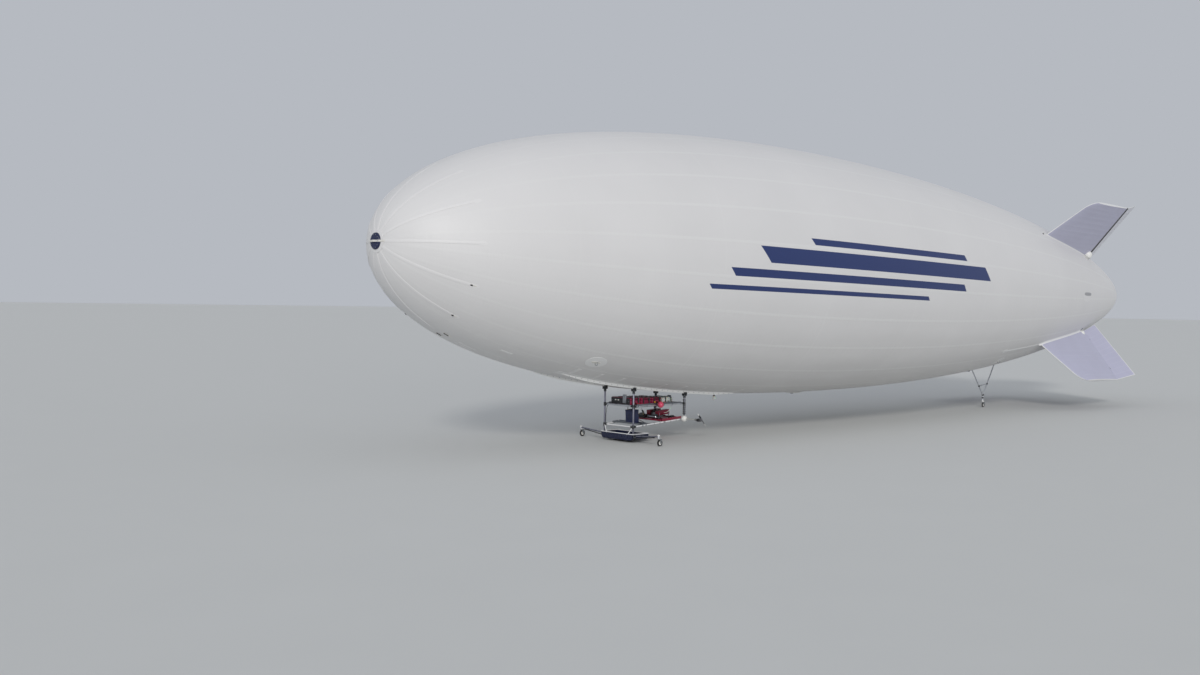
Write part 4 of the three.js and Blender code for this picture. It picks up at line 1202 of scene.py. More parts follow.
def make_tank():
    """A blow moulded tank with a seam round it, ribs on top, a filler cap and a brass outlet."""
    low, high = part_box("fuel_tank")
    size = high - low
    mid = centre("fuel_tank")
    tank = Piece("fuel_tank_shell")
    tank.put(box(size, 0.022, 5), HDPE, mid)
    seam = plate(oblong(size.x + 0.006, size.y + 0.006, 0.026, 5), 0.003)
    tank.put(seam, HDPE, (mid.x, mid.y, mid.z - 0.0015))
    for y in (-0.08, 0.03, 0.14):
        tank.put(box((size.x * 0.66, 0.02, 0.008), 0.0035), HDPE, (mid.x, y, high.z))
    tank.set_on("airframe", "fuel_tank", slot="white_plastic")

    caps = Piece("fuel_tank_caps")
    filler = Matrix.Translation((mid.x - 0.07, mid.y + 0.125, high.z - 0.002))
    caps.put(ring(0, 0.024, 0, 0.008, 32), HDPE, filler)
    cap = [(0, 0.008), (0.028, 0.008), (0.028, 0.024), (0.025, 0.027), (0, 0.027)]
    caps.put(lathe(cap, 32), BLACK_ABS, filler)
    for around in turns(16):
        caps.put(box((0.003, 0.004, 0.014), 0.001), BLACK_ABS, filler @ out_from(around, (0.028, 0, 0.016)))
    outlet = at((mid.x, high.y - 0.004, low.z + 0.02), PORT)
    caps.put(rod(0.007, 0.02, 16, rounded=0.001), BRASS, outlet)
    caps.set_on("airframe", slot="dark_plastic")


def on_rails(x, above=0.0):
    """A place on the sloping lower rails, its z square to them."""
    slope = math.atan2(LOWER_Z[1] - LOWER_Z[0], POST_X[0] - POST_X[1])
    height = lower_rail(x) + TUBE_R / math.cos(slope) + 0.0003
    return (Matrix.Translation((x, 0, height)) @ Matrix.Rotation(slope, 4, "Y")
            @ Matrix.Translation((0, 0, above)))


def make_trays():
    """A red tray under the engine and a grey shelf under the control box, both clipped to the lower rails."""
    across = 2 * HALF_WIDTH + 0.008
    for node, along, rim, finish, slot in (("engine_tray", 0.42, 0.038, RED_COAT, "red_paint"),
                                           ("control_shelf", 0.13, 0.014, SHEET, "deck_sheet")):
        base = on_rails(centre(node).x)
        tray = Piece(f"{node}_sheet")
        tray.put(box((along, across, 0.005), 0.0015), finish, base @ at((0, 0, 0.0025)))
        for way in (-1, 1):
            end = base @ at((way * (along / 2 - 0.003), 0, 0.011))
            tray.put(box((0.006, across - 0.06, 0.022), 0.002), finish, end)
            edge = base @ at((0, way * (across / 2 - 0.003), rim / 2))
            tray.put(box((along, 0.006, rim), 0.002), finish, edge)
        tray.set_on("airframe", node, slot=slot)
        clips = Piece(f"{node}_clips")
        for x in (0.03 - along / 2, along / 2 - 0.03):
            for sign in SIDES.values():
                clips.bolts(0.005, base @ at((x, sign * HALF_WIDTH, 0.005)))
                clip = base @ at((x, sign * HALF_WIDTH, -TUBE_R - 0.0003), AFT)
                clips.put(ring(0.0113, 0.0145, -0.009, 0.009), ZINC, clip)
        clips.set_on("airframe", slot="fork_steel")


def control_box_foot():
    """The place under the control box, on the shelf's sheet and to port of its middle."""
    return on_rails(centre("control_shelf").x, 0.0083) @ Matrix.Translation((0, 0.06, 0))


def make_control_box():
    """A powder coated box with a lid and its screws, cable glands, vents, and two short antennas."""
    base = control_box_foot()
    long, wide, tall = 0.12, 0.17, 0.2
    case = Piece("control_box_case")
    case.put(box((long, wide, tall - 0.018), 0.006, 3), NAVY, base @ at((0, 0, (tall - 0.018) / 2)))
    case.put(box((long + 0.004, wide + 0.004, 0.02), 0.004, 3), NAVY, base @ at((0, 0, tall - 0.01)))
    case.set_on("airframe", "control_box", slot="navy_paint")

    parts = Piece("control_box_fittings")
    parts.bolts(0.003, *(base @ at((x, y, tall)) for x in (-0.05, 0.05) for y in (-0.075, 0.075)))
    for y in (-0.054, -0.018, 0.018, 0.054):
        gland = base @ at((-long / 2, y, 0.045), AFT)
        parts.put(rod(0.009, 0.012, 6, rounded=0.001), BLACK_ABS, gland)
        parts.put(rod(0.007, 0.02, 16, 0.005, rounded=0.001), BLACK_ABS, gland)
    for k in range(7):
        vent = base @ at((long / 2 + 0.0006, 0, 0.06 + 0.012 * k))
        parts.put(box((0.002, 0.08, 0.004), 0.0009), BLACK_ABS, vent)
    for y in (-0.055, 0.055):
        foot = base @ at((0.03, y, tall))
        parts.put(rod(0.006, 0.01, 16, rounded=0.001), BRASS, foot)
        parts.put(rod(0.0052, 0.055, 16, 0.004, rounded=0.001), BLACK_ABS, foot @ at((0, 0, 0.008)))
    parts.put(box((0.03, 0.05, 0.012), 0.003), BLACK_ABS, base @ at((-0.02, 0, tall + 0.004)))
    parts.set_on("airframe", slot="dark_plastic")


def make_engine():
    """A flat twin with its generator, carburettor, silencer, ducts, starter battery, hose and leads."""
    base = on_rails(centre("engine_tray").x, 0.006)
    block = Piece("engine_block")
    block.put(box((0.1, 0.086, 0.086), 0.012, 4), CASTING, base @ at((0.01, 0, 0.058)))
    block.put(box((0.07, 0.11, 0.02), 0.004), CASTING, base @ at((0.01, 0, 0.02)))
    front_cover = [(0, 0), (0.04, 0), (0.04, 0.01), (0.03, 0.016), (0, 0.016)]
    block.put(lathe(front_cover, 40), CASTING, base @ at((0.06, 0, 0.06), AHEAD))
    cylinder = [(0, 0)]
    for k in range(9):
        z = 0.004 + 0.006 * k
        cylinder += [(0.024, z), (0.036, z), (0.036, z + 0.0022), (0.024, z + 0.0022)]
    cylinder += [(0.024, 0.062), (0, 0.062)]
    for sign in SIDES.values():
        out = base @ at((0.01 + sign * 0.008, sign * 0.04, 0.06), PORT * sign)
        block.put(lathe(cylinder, 40), CASTING, out)
        for k in range(-3, 4):
            block.put(box((0.0022, 0.05, 0.014), 0.0008), CASTING, out @ at((0.006 * k, 0, 0.068)))
        block.put(rod(0.004, 0.014, 6, rounded=0.0005), WHITE_ABS, out @ at((0, 0, 0.068), (0.5, 0, 1)))
    block.set_on("airframe", "engine", slot="engine_casting")

    dressing = Piece("engine_dressing")
    generator = base @ at((-0.04, 0, 0.06), AFT)
    flange = [(0, 0), (0.03, 0), (0.03, 0.006), (0.046, 0.01), (0.046, 0.014), (0, 0.014)]
    dressing.put(lathe(flange, 48), CASTING, generator)
    dressing.put(ring(0.02, 0.041, 0.014, 0.03, 48), COPPER, generator)
    for around in turns(18):
        magnet = generator @ out_from(around, (0.043, 0, 0.028))
        dressing.put(box((0.01, 0.005, 0.03), 0.001), SHEET, magnet)
    cover = [(0, 0.03), (0.046, 0.03), (0.048, 0.034), (0.048, 0.05), (0.04, 0.056), (0, 0.056)]
    dressing.put(lathe(cover, 48), BLACK_ABS, generator)
    # The carburettor sits on top, with a pleated air filter ahead of it.
    dressing.put(box((0.04, 0.036, 0.034), 0.006, 3), CASTING, base @ at((0.012, 0, 0.115)))
    pleats = [(0, 0)]
    for k in range(8):
        pleats += [(0.022, 0.003 + 0.005 * k), (0.019, 0.0055 + 0.005 * k)]
    pleats += [(0.02, 0.044), (0, 0.044)]
    dressing.put(lathe(pleats, 32), BLACK_ABS, base @ at((0.032, 0, 0.118), (1, 0, 0.1)))
    # Two exhaust pipes run forward to a silencer across the tray.
    for sign in SIDES.values():
        exhaust = placed(base, ((0.02, sign * 0.085, 0.03), (0.035, sign * 0.088, 0.02),
                                (0.07, sign * 0.07, 0.022), (0.1, sign * 0.05, 0.03)))
        dressing.put(pipe(exhaust, 0.0075, 14, 7), ZINC)
    silencer = mirrored([(0, -0.1), (0.02, -0.1), (0.027, -0.092)])
    dressing.put(lathe(silencer, 40), ZINC, base @ at((0.112, 0, 0.034), PORT))
    for y in (-0.06, 0.06):
        dressing.put(ring(0.0266, 0.0285, -0.007, 0.007, 40), SHEET, base @ at((0.112, y, 0.034), PORT))
    tail = placed(base, ((0.112, 0.098, 0.034), (0.115, 0.125, 0.03), (0.125, 0.145, 0.012)))
    dressing.put(pipe(tail, 0.007, 14, 6), ZINC)
    # Red ducts with louvres lead air down over the two cylinders.
    for sign in SIDES.values():
        dressing.put(box((0.25, 0.064, 0.006), 0.002), RED_COAT, base @ at((-0.02, sign * 0.088, 0.128)))
        dressing.put(box((0.25, 0.006, 0.072), 0.002), RED_COAT, base @ at((-0.02, sign * 0.123, 0.095)))
        for end in (-0.142, 0.102):
            dressing.put(box((0.006, 0.064, 0.05), 0.002), RED_COAT, base @ at((end, sign * 0.088, 0.106)))
        for k in range(6):
            for z in (0.1, 0.086):
                louvre = base @ at((-0.1 + 0.032 * k, sign * 0.1265, z))
                dressing.put(box((0.03, 0.004, 0.004), 0.0012), RED_COAT, louvre)
        for along in (-0.12, 0.08):
            dressing.put(box((0.014, 0.005, 0.1), 0.0015), SHEET, base @ at((along, sign * 0.128, 0.05)))
    # A starter battery stands at the tray's front corner.
    starter = base @ at((0.155, -0.18, 0.034))
    dressing.put(box((0.075, 0.14, 0.056), 0.004, 3), BLACK_ABS, starter)
    dressing.put(box((0.077, 0.142, 0.014), 0.004, 3), BLACK_ABS, starter @ at((0, 0, 0.024)))
    for y in (-0.05, 0.05):
        dressing.put(rod(0.006, 0.01, 16, rounded=0.001), BRASS, starter @ at((0.02, y, 0.03)))
    # Rubber mounts under the crankcase.
    mount = [(0, 0), (0.011, 0), (0.008, 0.006), (0.011, 0.012), (0, 0.012)]
    for x in (-0.02, 0.04):
        for y in (-0.045, 0.045):
            dressing.put(lathe(mount, 24), RUBBER, base @ at((x, y, 0)))
    dressing.set_on("airframe", slot="engine_casting")

    # A white fuel hose comes down from the tank, and dark leads run from the plugs to the ignition unit.
    hoses = Piece("engine_hoses")
    outlet = centre("fuel_tank") + Vector((0, 0.18, -0.018))
    fuel = [outlet + Vector(p) for p in (
        (0, 0, 0), (0, 0.03, -0.004), (0.005, 0.06, -0.06), (0.03, 0.045, -0.14))]
    fuel += placed(base, ((-0.03, 0.14, 0.09), (0, 0.07, 0.125), (0.012, 0.018, 0.12)))
    hoses.put(pipe(fuel, 0.0055, 12, 7), CLEAR_HOSE)
    unit = base @ at((-0.15, 0.17, 0.022))
    hoses.put(box((0.07, 0.05, 0.028), 0.005, 3), BLACK_ABS, unit)
    tilt = base.to_3x3()
    for sign in SIDES.values():
        plug = base @ Vector((0.016, sign * 0.114, 0.062))
        boot = at(plug, tilt @ Vector((0.2, sign, 0.2)))
        hoses.put(rod(0.0065, 0.018, 12, rounded=0.001), BLACK_CABLE, boot)
        start = plug + tilt @ Vector((0.003, sign * 0.018, 0.004))
        lead = [start, start + Vector((-0.02, sign * 0.02, -0.005))]
        lead += placed(base, ((-0.08, sign * 0.135, 0.03), (-0.115, 0.15 if sign > 0 else -0.09, 0.02)))
        lead += placed(unit, [(-0.01, 0, 0)])
        hoses.put(pipe(lead, 0.0032, 10, 7), BLACK_CABLE)
    hoses.set_on("airframe", slot="dark_plastic")


def make_lamps():
    """A ball lamp on each side, red to port and green to starboard, and a white one under the belly."""
    for side, sign in SIDES.items():
        node = f"side_lamp_{side}"
        low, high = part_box(node)
        middle = centre(node)
        middle.y = sign * (max(abs(low.y), abs(high.y)) - LAMP_R)
        lamp = Piece(f"{node}_globe")
        lamp.put(globe(LAMP_R, 40), RED_GLOBE if sign > 0 else GREEN_GLOBE, middle)
        lamp.set_on("airframe", node, slot="lamp_red" if sign > 0 else "lamp_green")
        base = Piece(f"{node}_base")
        socket = [(0, -0.006), (0.03, -0.006), (0.03, 0.008), (0.024, 0.014), (0, 0.014)]
        base.put(lathe(socket, 36), BLACK_ABS, at(middle - PORT * sign * LAMP_R, PORT * sign))
        bracket = (middle.x, sign * (HALF_WIDTH + 0.0135), DECK_Z - 0.004)
        base.put(box((0.034, 0.006, 0.05), 0.0015), SHEET, bracket)
        base.put(hoop(LAMP_R + 0.0005, 0.0014, 48), BLACK_ABS, at(middle, PORT))
        base.set_on("airframe", slot="dark_plastic")

    low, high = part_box("belly_lamp")
    radius = (high.y - low.y) / 2
    spot = Vector((centre("belly_lamp").x, 0, low.z + radius))
    opal = Piece("belly_lamp_globe")
    opal.put(globe(radius, 36), OPAL, spot)
    opal.set_on("airframe", "belly_lamp", slot="white_plastic")
    stem = Piece("belly_lamp_stem")
    stem.bar(spot + UP * 0.02, (spot.x, 0, high.z + 0.01), 0.011, BLACK_ABS, 24)
    stem.collar(spot + UP * 0.034, UP, 0.018, 0.012, BLACK_ABS)
    stem.put(wrap(doubler(0.16, 0.16), NOSE.x - spot.x, math.pi), TAPE)
    stem.set_on("airframe", slot="dark_plastic")


# The running gear.

def make_outriggers():
    """Arms from the pan's sides out to the sleeves that hold the castors' stems, each braced by a stay."""
    x = POST_X[0]
    pan_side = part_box("front_pan")[1].y
    for side, sign in SIDES.items():
        outward = PORT * sign
        start = Vector((x, sign * (pan_side + 0.0033), ARM_Z))
        sleeve = Vector((x, sign * TRACK, (SLEEVE_Z[0] + SLEEVE_Z[1]) / 2))
        along = (sleeve - start).normalized()
        arm = Piece(f"outrigger_{side}_arm")
        arm.bar(start, sleeve - outward * 0.012, 0.011, GREY_TUBE, 28)
        arm.put(box((0.05, 0.006, 0.05), 0.0018), SHEET, start)
        arm.put(ring(STEM_BORE, 0.0168, -0.0235, 0.0235, 36), ALUMINIUM, sleeve)
        arm.set_on("airframe", f"outrigger_{side}", slot="frame_tube")
        bands = Piece(f"outrigger_{side}_fittings")
        bands.bolts(0.0042, *(at(start + Vector((dx, sign * 0.003, dz)), outward)
                              for dx in (-0.018, 0.018) for dz in (-0.018, 0.018)))
        cap = [(STEM_BORE, 0), (0.0195, 0), (0.0195, 0.014), (0.0175, 0.016), (STEM_BORE, 0.016)]
        bands.put(lathe(cap, 36), WHITE_ABS, (x, sign * TRACK, SLEEVE_Z[1] - 0.014))
        bands.put(rod(0.0145, 0.03, 24, rounded=0.002), BLACK_ABS, at(start + along * 0.003, along))
        for share in (0.3, 0.62):
            bands.put(rod(0.0125, 0.006, 20, rounded=0.001), BLACK_ABS, at(start.lerp(sleeve, share), along))
        bands.set_on("airframe", slot="white_plastic")
        # A carbon stay braces the arm from below, clear of the castor's swing. Its near-black finish also
        # serves as painted shade under the arm.
        stay = Piece(f"outrigger_{side}_stay")
        root, end = start - UP * 0.036, start.lerp(sleeve, 0.8) - UP * 0.0165
        stay.bar(root, end, 0.0075, CARBON, 24)
        for spot in (end, root + outward * 0.012):
            stay.collar(spot, along, 0.009, 0.024, BLACK_ABS)
        stay.put(box((0.018, 0.03, 0.03), 0.003), BLACK_ABS, end + UP * 0.008)
        stay.set_on("airframe", slot="dark_plastic")


def make_castor(name):
    """A fork bent from steel strap that swivels in its sleeve, and a rubber wheel on a bolt."""
    hub = centre(f"castor_{name}_wheel")
    x, y = hub.x + TRAIL, hub.y
    stem_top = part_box(f"castor_{name}_fork")[1].z
    fork = Piece(f"castor_{name}_fork_plate")
    fork.bar((x, y, CROWN_Z), (x, y, stem_top), 0.008, ZINC, 24, 0.0015)
    crown = plate(oblong(0.066, 0.05, 0.018, 4), 0.006)
    fork.put(crown, ZINC, ((x + hub.x) / 2, y, CROWN_Z - 0.002))
    cheek = [(0.019, 0.004), (-0.019, 0.004), (-0.0125, -0.048)]
    cheek += [(0.0125 * math.cos(a), -0.056 - 0.0155 * math.sin(a)) for a in steps_between(math.pi, 0, 8)]
    cheek += [(0.0125, -0.048)]
    for sign in SIDES.values():
        inner = y + sign * 0.0225 - 0.002
        stand = Matrix(((1, 0, 0, hub.x), (0, 0, 1, inner), (0, 1, 0, CROWN_Z), (0, 0, 0, 1)))
        fork.put(plate(cheek, 0.004), ZINC, stand)
    fork.bar((hub.x, y - 0.03, hub.z), (hub.x, y + 0.03, hub.z), 0.005, ZINC, 16)
    fork.bolts(0.0075, *(at((hub.x, y + sign * 0.0245, hub.z), PORT * sign) for sign in SIDES.values()))
    fork.set_on(f"castor_{name}", f"castor_{name}_fork", slot="fork_steel")
    cover = Piece(f"castor_{name}_cover")
    washer = [(0.0088, 0), (0.021, 0), (0.019, 0.004), (0.0088, 0.004)]
    cover.put(lathe(washer, 32), WHITE_ABS, (x, y, CROWN_Z + 0.0045))
    cover.put(box((0.05, 0.03, 0.004), 0.0015), WHITE_ABS, (hub.x - 0.004, y, CROWN_Z + 0.006))
    cover.set_on(f"castor_{name}", slot="white_plastic")

    axle = at(hub, PORT)
    wheel = Piece(f"castor_{name}_tyre")
    tyre = mirrored([(0.03, -0.011), (0.042, -0.014), (0.0462, -0.0105), (0.0478, -0.0062),
                     (0.0465, -0.0055), (0.0465, -0.0043), (0.048, -0.0036)])
    wheel.put(lathe(tyre, 72), RUBBER, axle, sharp=25)
    wheel.set_on(f"wheel_{name}", f"castor_{name}_wheel", slot="wheel_rubber")
    disc = Piece(f"castor_{name}_hub")
    dished = mirrored([(0.0056, -0.0125), (0.013, -0.0125), (0.016, -0.006),
                       (0.027, -0.005), (0.031, -0.0112)])
    disc.put(lathe(dished, 48), WHITE_ABS, axle)
    for around in turns(5):
        disc.put(box((0.014, 0.004, 0.017), 0.0012), WHITE_ABS, axle @ out_from(around, (0.0215, 0, 0)))
    disc.set_on(f"wheel_{name}", slot="white_plastic")


def make_tail_gear():
    """A V of two braced tubes, its shoes bolted to patches on the belly, over the tail castor's sleeve."""
    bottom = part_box("tail_strut")[0].z
    x = centre("castor_tail_wheel").x + TRAIL
    hub = Vector((x, 0, TAIL_HUB_Z))
    strut = Piece("tail_strut_tubes")
    strut.put(ring(STEM_BORE, 0.0168, 0, 0.167, 36), ALUMINIUM, (x, 0, bottom))
    pads = Piece("tail_strut_shoes")
    ends = []
    for offset in TAIL_LEGS:
        station = NOSE.x - x + offset
        foot = hub - AHEAD * math.copysign(0.006, offset)
        head = Vector((NOSE.x - station, 0, belly(station) + 0.01))
        along = (head - foot).normalized()
        strut.bar(foot, head, 0.012, ALUMINIUM, 28)
        ends.append(foot.lerp(head, 0.32))
        pads.put(rod(0.016, 0.05, 28, rounded=0.003), BLACK_ABS, at(head - along * 0.075, along))
        pads.put(wrap(doubler(0.42, 0.3), station, math.pi), TAPE)
        pads.put(wrap(box((0.15, 0.09, 0.03), 0.008, 3), station, math.pi), BLACK_ABS)
        for px in (-0.055, 0.055):
            for py in (-0.03, 0.03):
                pads.put(wrap(moved(bolt(0.005), (px, py, 0.0145)), station, math.pi), ZINC)
    strut.bar(*ends, 0.008, ALUMINIUM, 24)
    strut.set_on("airframe", "tail_strut", slot="frame_tube")
    for spot in ends:
        pads.collar(spot, spot - hub, 0.0155, 0.034, BLACK_ABS)
    cap = [(STEM_BORE, 0), (0.0205, 0), (0.0205, 0.02), (0.0185, 0.022), (STEM_BORE, 0.022)]
    pads.put(lathe(cap, 36), WHITE_ABS, (x, 0, bottom + 0.004))
    pads.collar((x, 0, 0.2), UP, 0.0205, 0.03, BLACK_ABS)
    pads.collar(hub, UP, 0.0225, 0.04, BLACK_ABS)
    pads.set_on("airframe", slot="dark_plastic")


# The thrusters.

def make_thrusters():
    """White balls at the frame's lower rear corners, and the booms that tilt in them with their motors."""
    slope = Vector((1, 0, (LOWER_Z[0] - LOWER_Z[1]) / (POST_X[0] - POST_X[1])))
    for side, sign in SIDES.items():
        outward = PORT * sign
        corner = Vector((POST_X[1], sign * HALF_WIDTH, LOWER_Z[1]))
        bearing = Piece(f"thruster_bearing_{side}_ball")
        bearing.put(globe(BALL_R, 44), WHITE_ABS, corner)
        bearing.set_on("airframe", f"thruster_bearing_{side}", slot="white_plastic")
        rings = Piece(f"thruster_bearing_{side}_rings")
        rings.put(hoop(BALL_R - 0.0006, 0.0012, 56), SHEET, at(corner, AHEAD))
        for axis, radius, finish in ((UP, POST_R, SHEET), (slope, TUBE_R, WHITE_ABS),
                                     (-outward, TUBE_R, WHITE_ABS)):
            rings.collar(corner + axis.normalized() * 0.052, axis, radius + 0.0035, 0.014, finish)
        boot = [(0.0108, -0.004), (0.019, -0.004), (0.019, 0.006), (0.016, 0.01), (0.0108, 0.01)]
        rings.put(lathe(boot, 36), WHITE_ABS, at(corner + outward * (BALL_R - 0.006), outward))
        rings.set_on("airframe", slot="dark_plastic")

        low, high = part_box(f"thruster_{side}")
        root = Vector((POST_X[1], sign * min(abs(low.y), abs(high.y)), LOWER_Z[1]))
        tip = Vector((POST_X[1], sign * BOOM_Y, LOWER_Z[1]))
        boom = Piece(f"thruster_{side}_boom")
        boom.bar(root, tip - outward * 0.014, 0.0098, GREY_COAT, 28)
        boom.set_on(f"thruster_{side}", f"thruster_{side}", slot="frame_tube")

        motor = Piece(f"thruster_{side}_motor")
        axis = at(tip + AHEAD * 0.045, AFT)
        nose = [(0, 0), (0.012, 0.0015), (0.02, 0.006), (0.024, 0.014), (0.024, 0.04), (0, 0.04)]
        motor.put(lathe(nose, 44), BLACK_ABS, axis)
        motor.put(ring(0, 0.019, 0.042, 0.086, 36), COPPER, axis)
        for around in turns(14):
            motor.put(box((0.007, 0.006, 0.036), 0.001), SHEET, axis @ out_from(around, (0.0222, 0, 0.063)))
        motor.put(ring(0.012, 0.0258, 0.04, 0.046, 44), CASTING, axis)
        back = [(0, 0.08), (0.0258, 0.08), (0.0252, 0.087), (0.018, 0.09), (0, 0.09)]
        motor.put(lathe(back, 44), CASTING, axis)
        motor.put(rod(0.004, 0.036, 20), ZINC, axis @ at((0, 0, 0.085)))
        clamp = at(tip - outward * 0.026, outward)
        motor.put(rod(0.0155, 0.03, 28, rounded=0.003), BLACK_ABS, clamp @ at((0, 0, -0.018)))
        motor.put(box((0.03, 0.03, 0.012), 0.004), BLACK_ABS, clamp @ at((0, 0, 0.006)))
        for degrees in (-40, 0, 40):
            turn = math.radians(degrees)
            lift = Vector((math.sin(turn), 0, -math.cos(turn))) * 0.0125
            lead = [tip + AHEAD * ahead - outward * inboard + lift * share for ahead, inboard, share in (
                (0.01, 0.01, 1.5), (0.004, 0.045, 1.15), (0, 0.08, 1), (0, 0.1, 0.3))]
            motor.put(pipe(lead, 0.0021, 8, 6), BLACK_CABLE)
        motor.put(ring(0.0098, 0.0158, -0.002, 0.002), BLACK_ABS, at(tip - outward * 0.07, PORT))
        motor.set_on(f"thruster_{side}", slot="dark_plastic")
        make_propeller(side)


def make_propeller(side):
    """Two twisted carbon blades with white tips on a turned hub, held by a dome nut."""
    node = f"propeller_{side}"
    hub = centre(node)
    white_from = 0.084
    blades = Piece(f"{node}_blades")
    for half in (0, math.pi):
        root = Matrix.Translation(hub) @ Matrix.Rotation(half + PROPELLER_REST, 4, "X")
        frames = []
        for r in steps_between(0.006, BLADE, 22):
            share = r / BLADE
            twist = mix(math.radians(42), math.radians(13), min(1, share * 1.1))
            chord = 0.013 + 0.014 * math.sin(math.pi * min(1, share * 1.25 + 0.02) ** 0.9)
            chord *= 1 if share < 0.94 else mix(1, 0.55, (share - 0.94) / 0.06)
            thick = mix(0.0062, 0.0016, share ** 0.6)
            frames.append(root @ Matrix.Translation((0, 0, r)) @ Matrix.Rotation(twist, 4, "Z")
                          @ Matrix.Diagonal((thick, chord, 1, 1)))
        blade = sweep(circle(0.5, 20), frames)
        for face in blade.faces:
            face.material_index = 1 if (face.calc_center_median() - hub).length > white_from else 0
        blades.put(blade, [CARBON, WHITE_ABS])
    blades.set_on(node, node, slot="dark_plastic")
    boss = Piece(f"{node}_hub")
    axis = at((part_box(node)[1].x, hub.y, hub.z), AFT)
    turned = [(0.0045, 0), (0.014, 0), (0.015, 0.001), (0.015, 0.021), (0.014, 0.022), (0.0045, 0.022)]
    boss.put(lathe(turned, 36), CASTING, axis)
    dome_nut = [(0, 0.022), (0.009, 0.022), (0.009, 0.024), (0.0065, 0.0265), (0, 0.0275)]
    boss.put(lathe(dome_nut, 6), ZINC, axis)
    boss.set_on(node, slot="dark_plastic")


def make_wiring():
    """Leads clipped along the frame: cases to control box, control box to thrusters and lamps."""
    wiring = Piece("frame_wiring")
    foot = control_box_foot()
    post, joins = POST_X[0], POST_X[0] - 0.36
    clipped = steps_between(post - 0.45, POST_X[1] + 0.07, 5)
    for sign in SIDES.values():
        y = sign * (HALF_WIDTH - 0.0155)
        start = foot @ Vector((-0.078, 0.02 * sign, 0.045))
        route = [start, start + Vector((-0.03, 0, -0.004)), (joins, y * 0.8, lower_rail(joins) + 0.01)]
        route += [(x, y, lower_rail(x) + 0.002) for x in clipped]
        wiring.put(pipe(route, 0.0045, 10, 6), BLACK_CABLE)
        upper = [(post - 0.02, y + sign * 0.004, 0.4), (post - 0.024, y, 0.47), (post - 0.05, y, 0.522)]
        upper += [(x, y, DECK_Z - 0.013) for x in steps_between(post - 0.12, centre("side_lamp_left").x, 5)]
        wiring.put(pipe(upper, 0.0035, 10, 6), BLACK_CABLE)
        down = [(post - 0.0185, y + sign * 0.008, z) for z in steps_between(0.4, 0.27, 3)]
        wiring.put(pipe(down, 0.0035, 10, 3), BLACK_CABLE)
        for x in clipped:
            clip = at((x, sign * (HALF_WIDTH - 0.0045), lower_rail(x) + 0.001), AFT)
            wiring.put(ring(0.0157, 0.017, -0.0018, 0.0018, 24), BLACK_ABS, clip)
    for name, way, cable in (("battery_front", 1, RED_CABLE), ("battery_middle", -1, BLACK_CABLE),
                             ("battery_rear", 1, RED_CABLE)):
        low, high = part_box(name)
        start = Vector((centre(name).x, way * (high.y + 0.014), low.z + 0.02))
        route = [start + Vector((x, way * y, z)) for x, y, z in (
            (0, 0, 0), (-0.004, 0.02, 0.002), (-0.03, 0.034, -0.008), (-0.09, 0.036, -0.012),
            (-0.15, 0.03, -0.012), (-0.185, 0.012, -0.012))]
        wiring.put(pipe(route, 0.0038, 10, 6), cable)
    wiring.set_on("airframe", slot="dark_plastic")

    # A braided loom down each rear post, held by clips.
    looms = Piece("rear_post_looms")
    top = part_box("rear_post_left")[1].z - 0.08
    bottom = LOWER_Z[1] + BALL_R
    for sign in SIDES.values():
        x, y = POST_X[1] + 0.021, sign * (HALF_WIDTH + 0.006)
        loom = pipe([(x, y, z) for z in steps_between(top, bottom + 0.01, 12)], 0.0065, 12, 4)
        looms.put(loom, BLACK_WEB_AND_GAP_SHADE)
        for z in steps_between(top - 0.02, bottom + 0.03, 7):
            if abs(z - DECK_Z) > 0.035:
                clip = (POST_X[1] + 0.006, sign * (HALF_WIDTH + 0.002), z)
                looms.collar(clip, UP, 0.0235, 0.016, BLACK_ABS)
    looms.set_on("airframe", slot="dark_plastic")


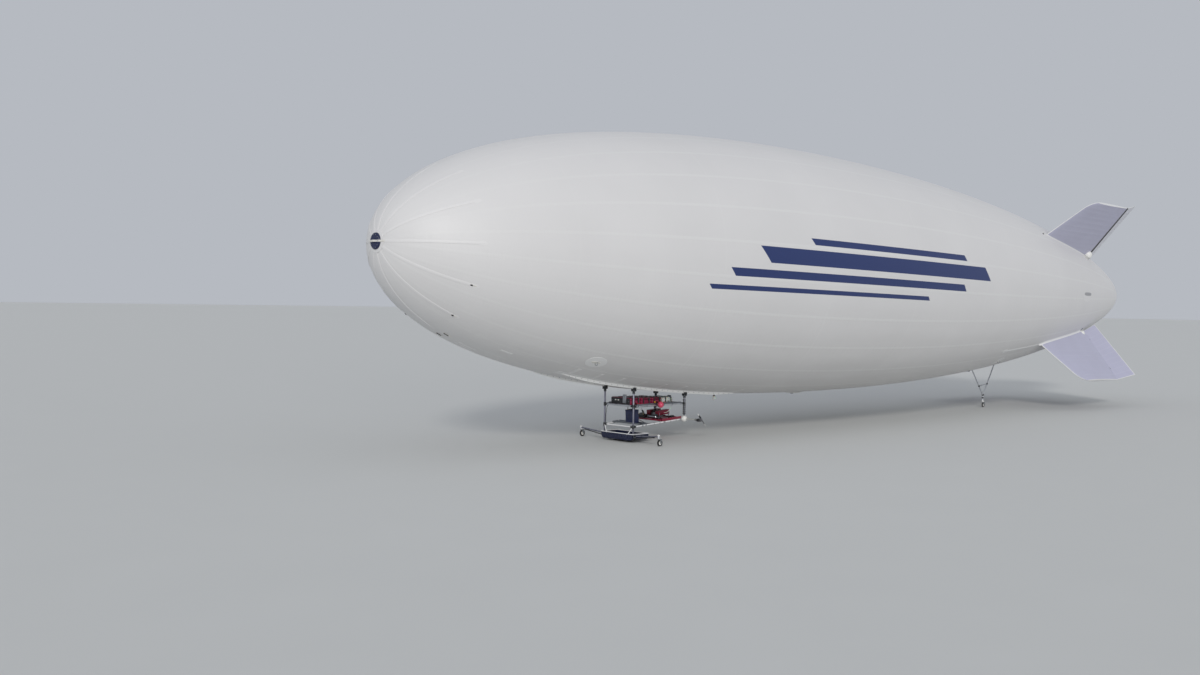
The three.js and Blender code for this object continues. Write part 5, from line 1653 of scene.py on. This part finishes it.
def make_studio():
    """A pale floor, a key light and a low fill, and the photograph's view."""
    work = bmesh.new()
    bmesh.ops.create_grid(work, x_segments=1, y_segments=1, size=400)
    mesh = bpy.data.meshes.new("floor")
    work.to_mesh(mesh)
    work.free()
    floor = bpy.data.objects.new("floor", mesh)
    bpy.context.scene.collection.objects.link(floor)
    mesh.materials.append(grained("studio_floor", "d3d4d2", 0.85, grain=900, depth=0.1, shade=0.015))

    world = bpy.data.worlds.new("studio")
    world.use_nodes = True
    sky = world.node_tree.nodes["Background"]
    sky.inputs["Color"].default_value = linear("b6bac1")
    sky.inputs["Strength"].default_value = 1.0
    bpy.context.scene.world = world
    bpy.context.scene.view_settings.view_transform = "Standard"

    # The key stands ahead and to port; a wide low fill reaches under the belly.
    for name, energy, spread, way in (("key", 1.2, 10, (0.66, 0.6, 0.4)),
                                      ("fill", 0.52, 24, (0.5, 0.85, 0.12))):
        light = bpy.data.lights.new(name, "SUN")
        light.energy = energy
        light.angle = math.radians(spread)
        light.color = (1.0, 0.975, 0.94)
        lamp = bpy.data.objects.new(name, light)
        lamp.rotation_euler = Vector(way).to_track_quat("Z", "Y").to_euler()
        bpy.context.scene.collection.objects.link(lamp)

    heading, down, roll = (math.radians(degrees) for degrees in (226.594, 1.564, 0.877))
    camera = bpy.data.cameras.new("camera")
    camera.sensor_width = 36
    camera.lens = 36
    camera.clip_end = 2000
    eye = bpy.data.objects.new("camera", camera)
    eye.matrix_world = (Matrix.Translation((18.945, 12.961, 2.06))
                        @ Matrix.Rotation(heading - math.pi / 2, 4, "Z")
                        @ Matrix.Rotation(math.pi / 2 - down, 4, "X")
                        @ Matrix.Rotation(roll, 4, "Z"))
    bpy.context.scene.collection.objects.link(eye)
    bpy.context.scene.camera = eye


make_studio()
make_envelope()
make_nose()
make_skin_fittings()
for quarter_name, degrees in QUARTERS.items():
    make_fin(quarter_name, math.radians(degrees))
    make_rudder(quarter_name, math.radians(degrees))
make_load_rails()
make_frame_tubes()
make_pan()
make_deck()
make_tank()
make_trays()
make_control_box()
make_engine()
make_lamps()
make_outriggers()
for castor_name in ("left", "right", "tail"):
    make_castor(castor_name)
make_tail_gear()
make_thrusters()
make_wiring()
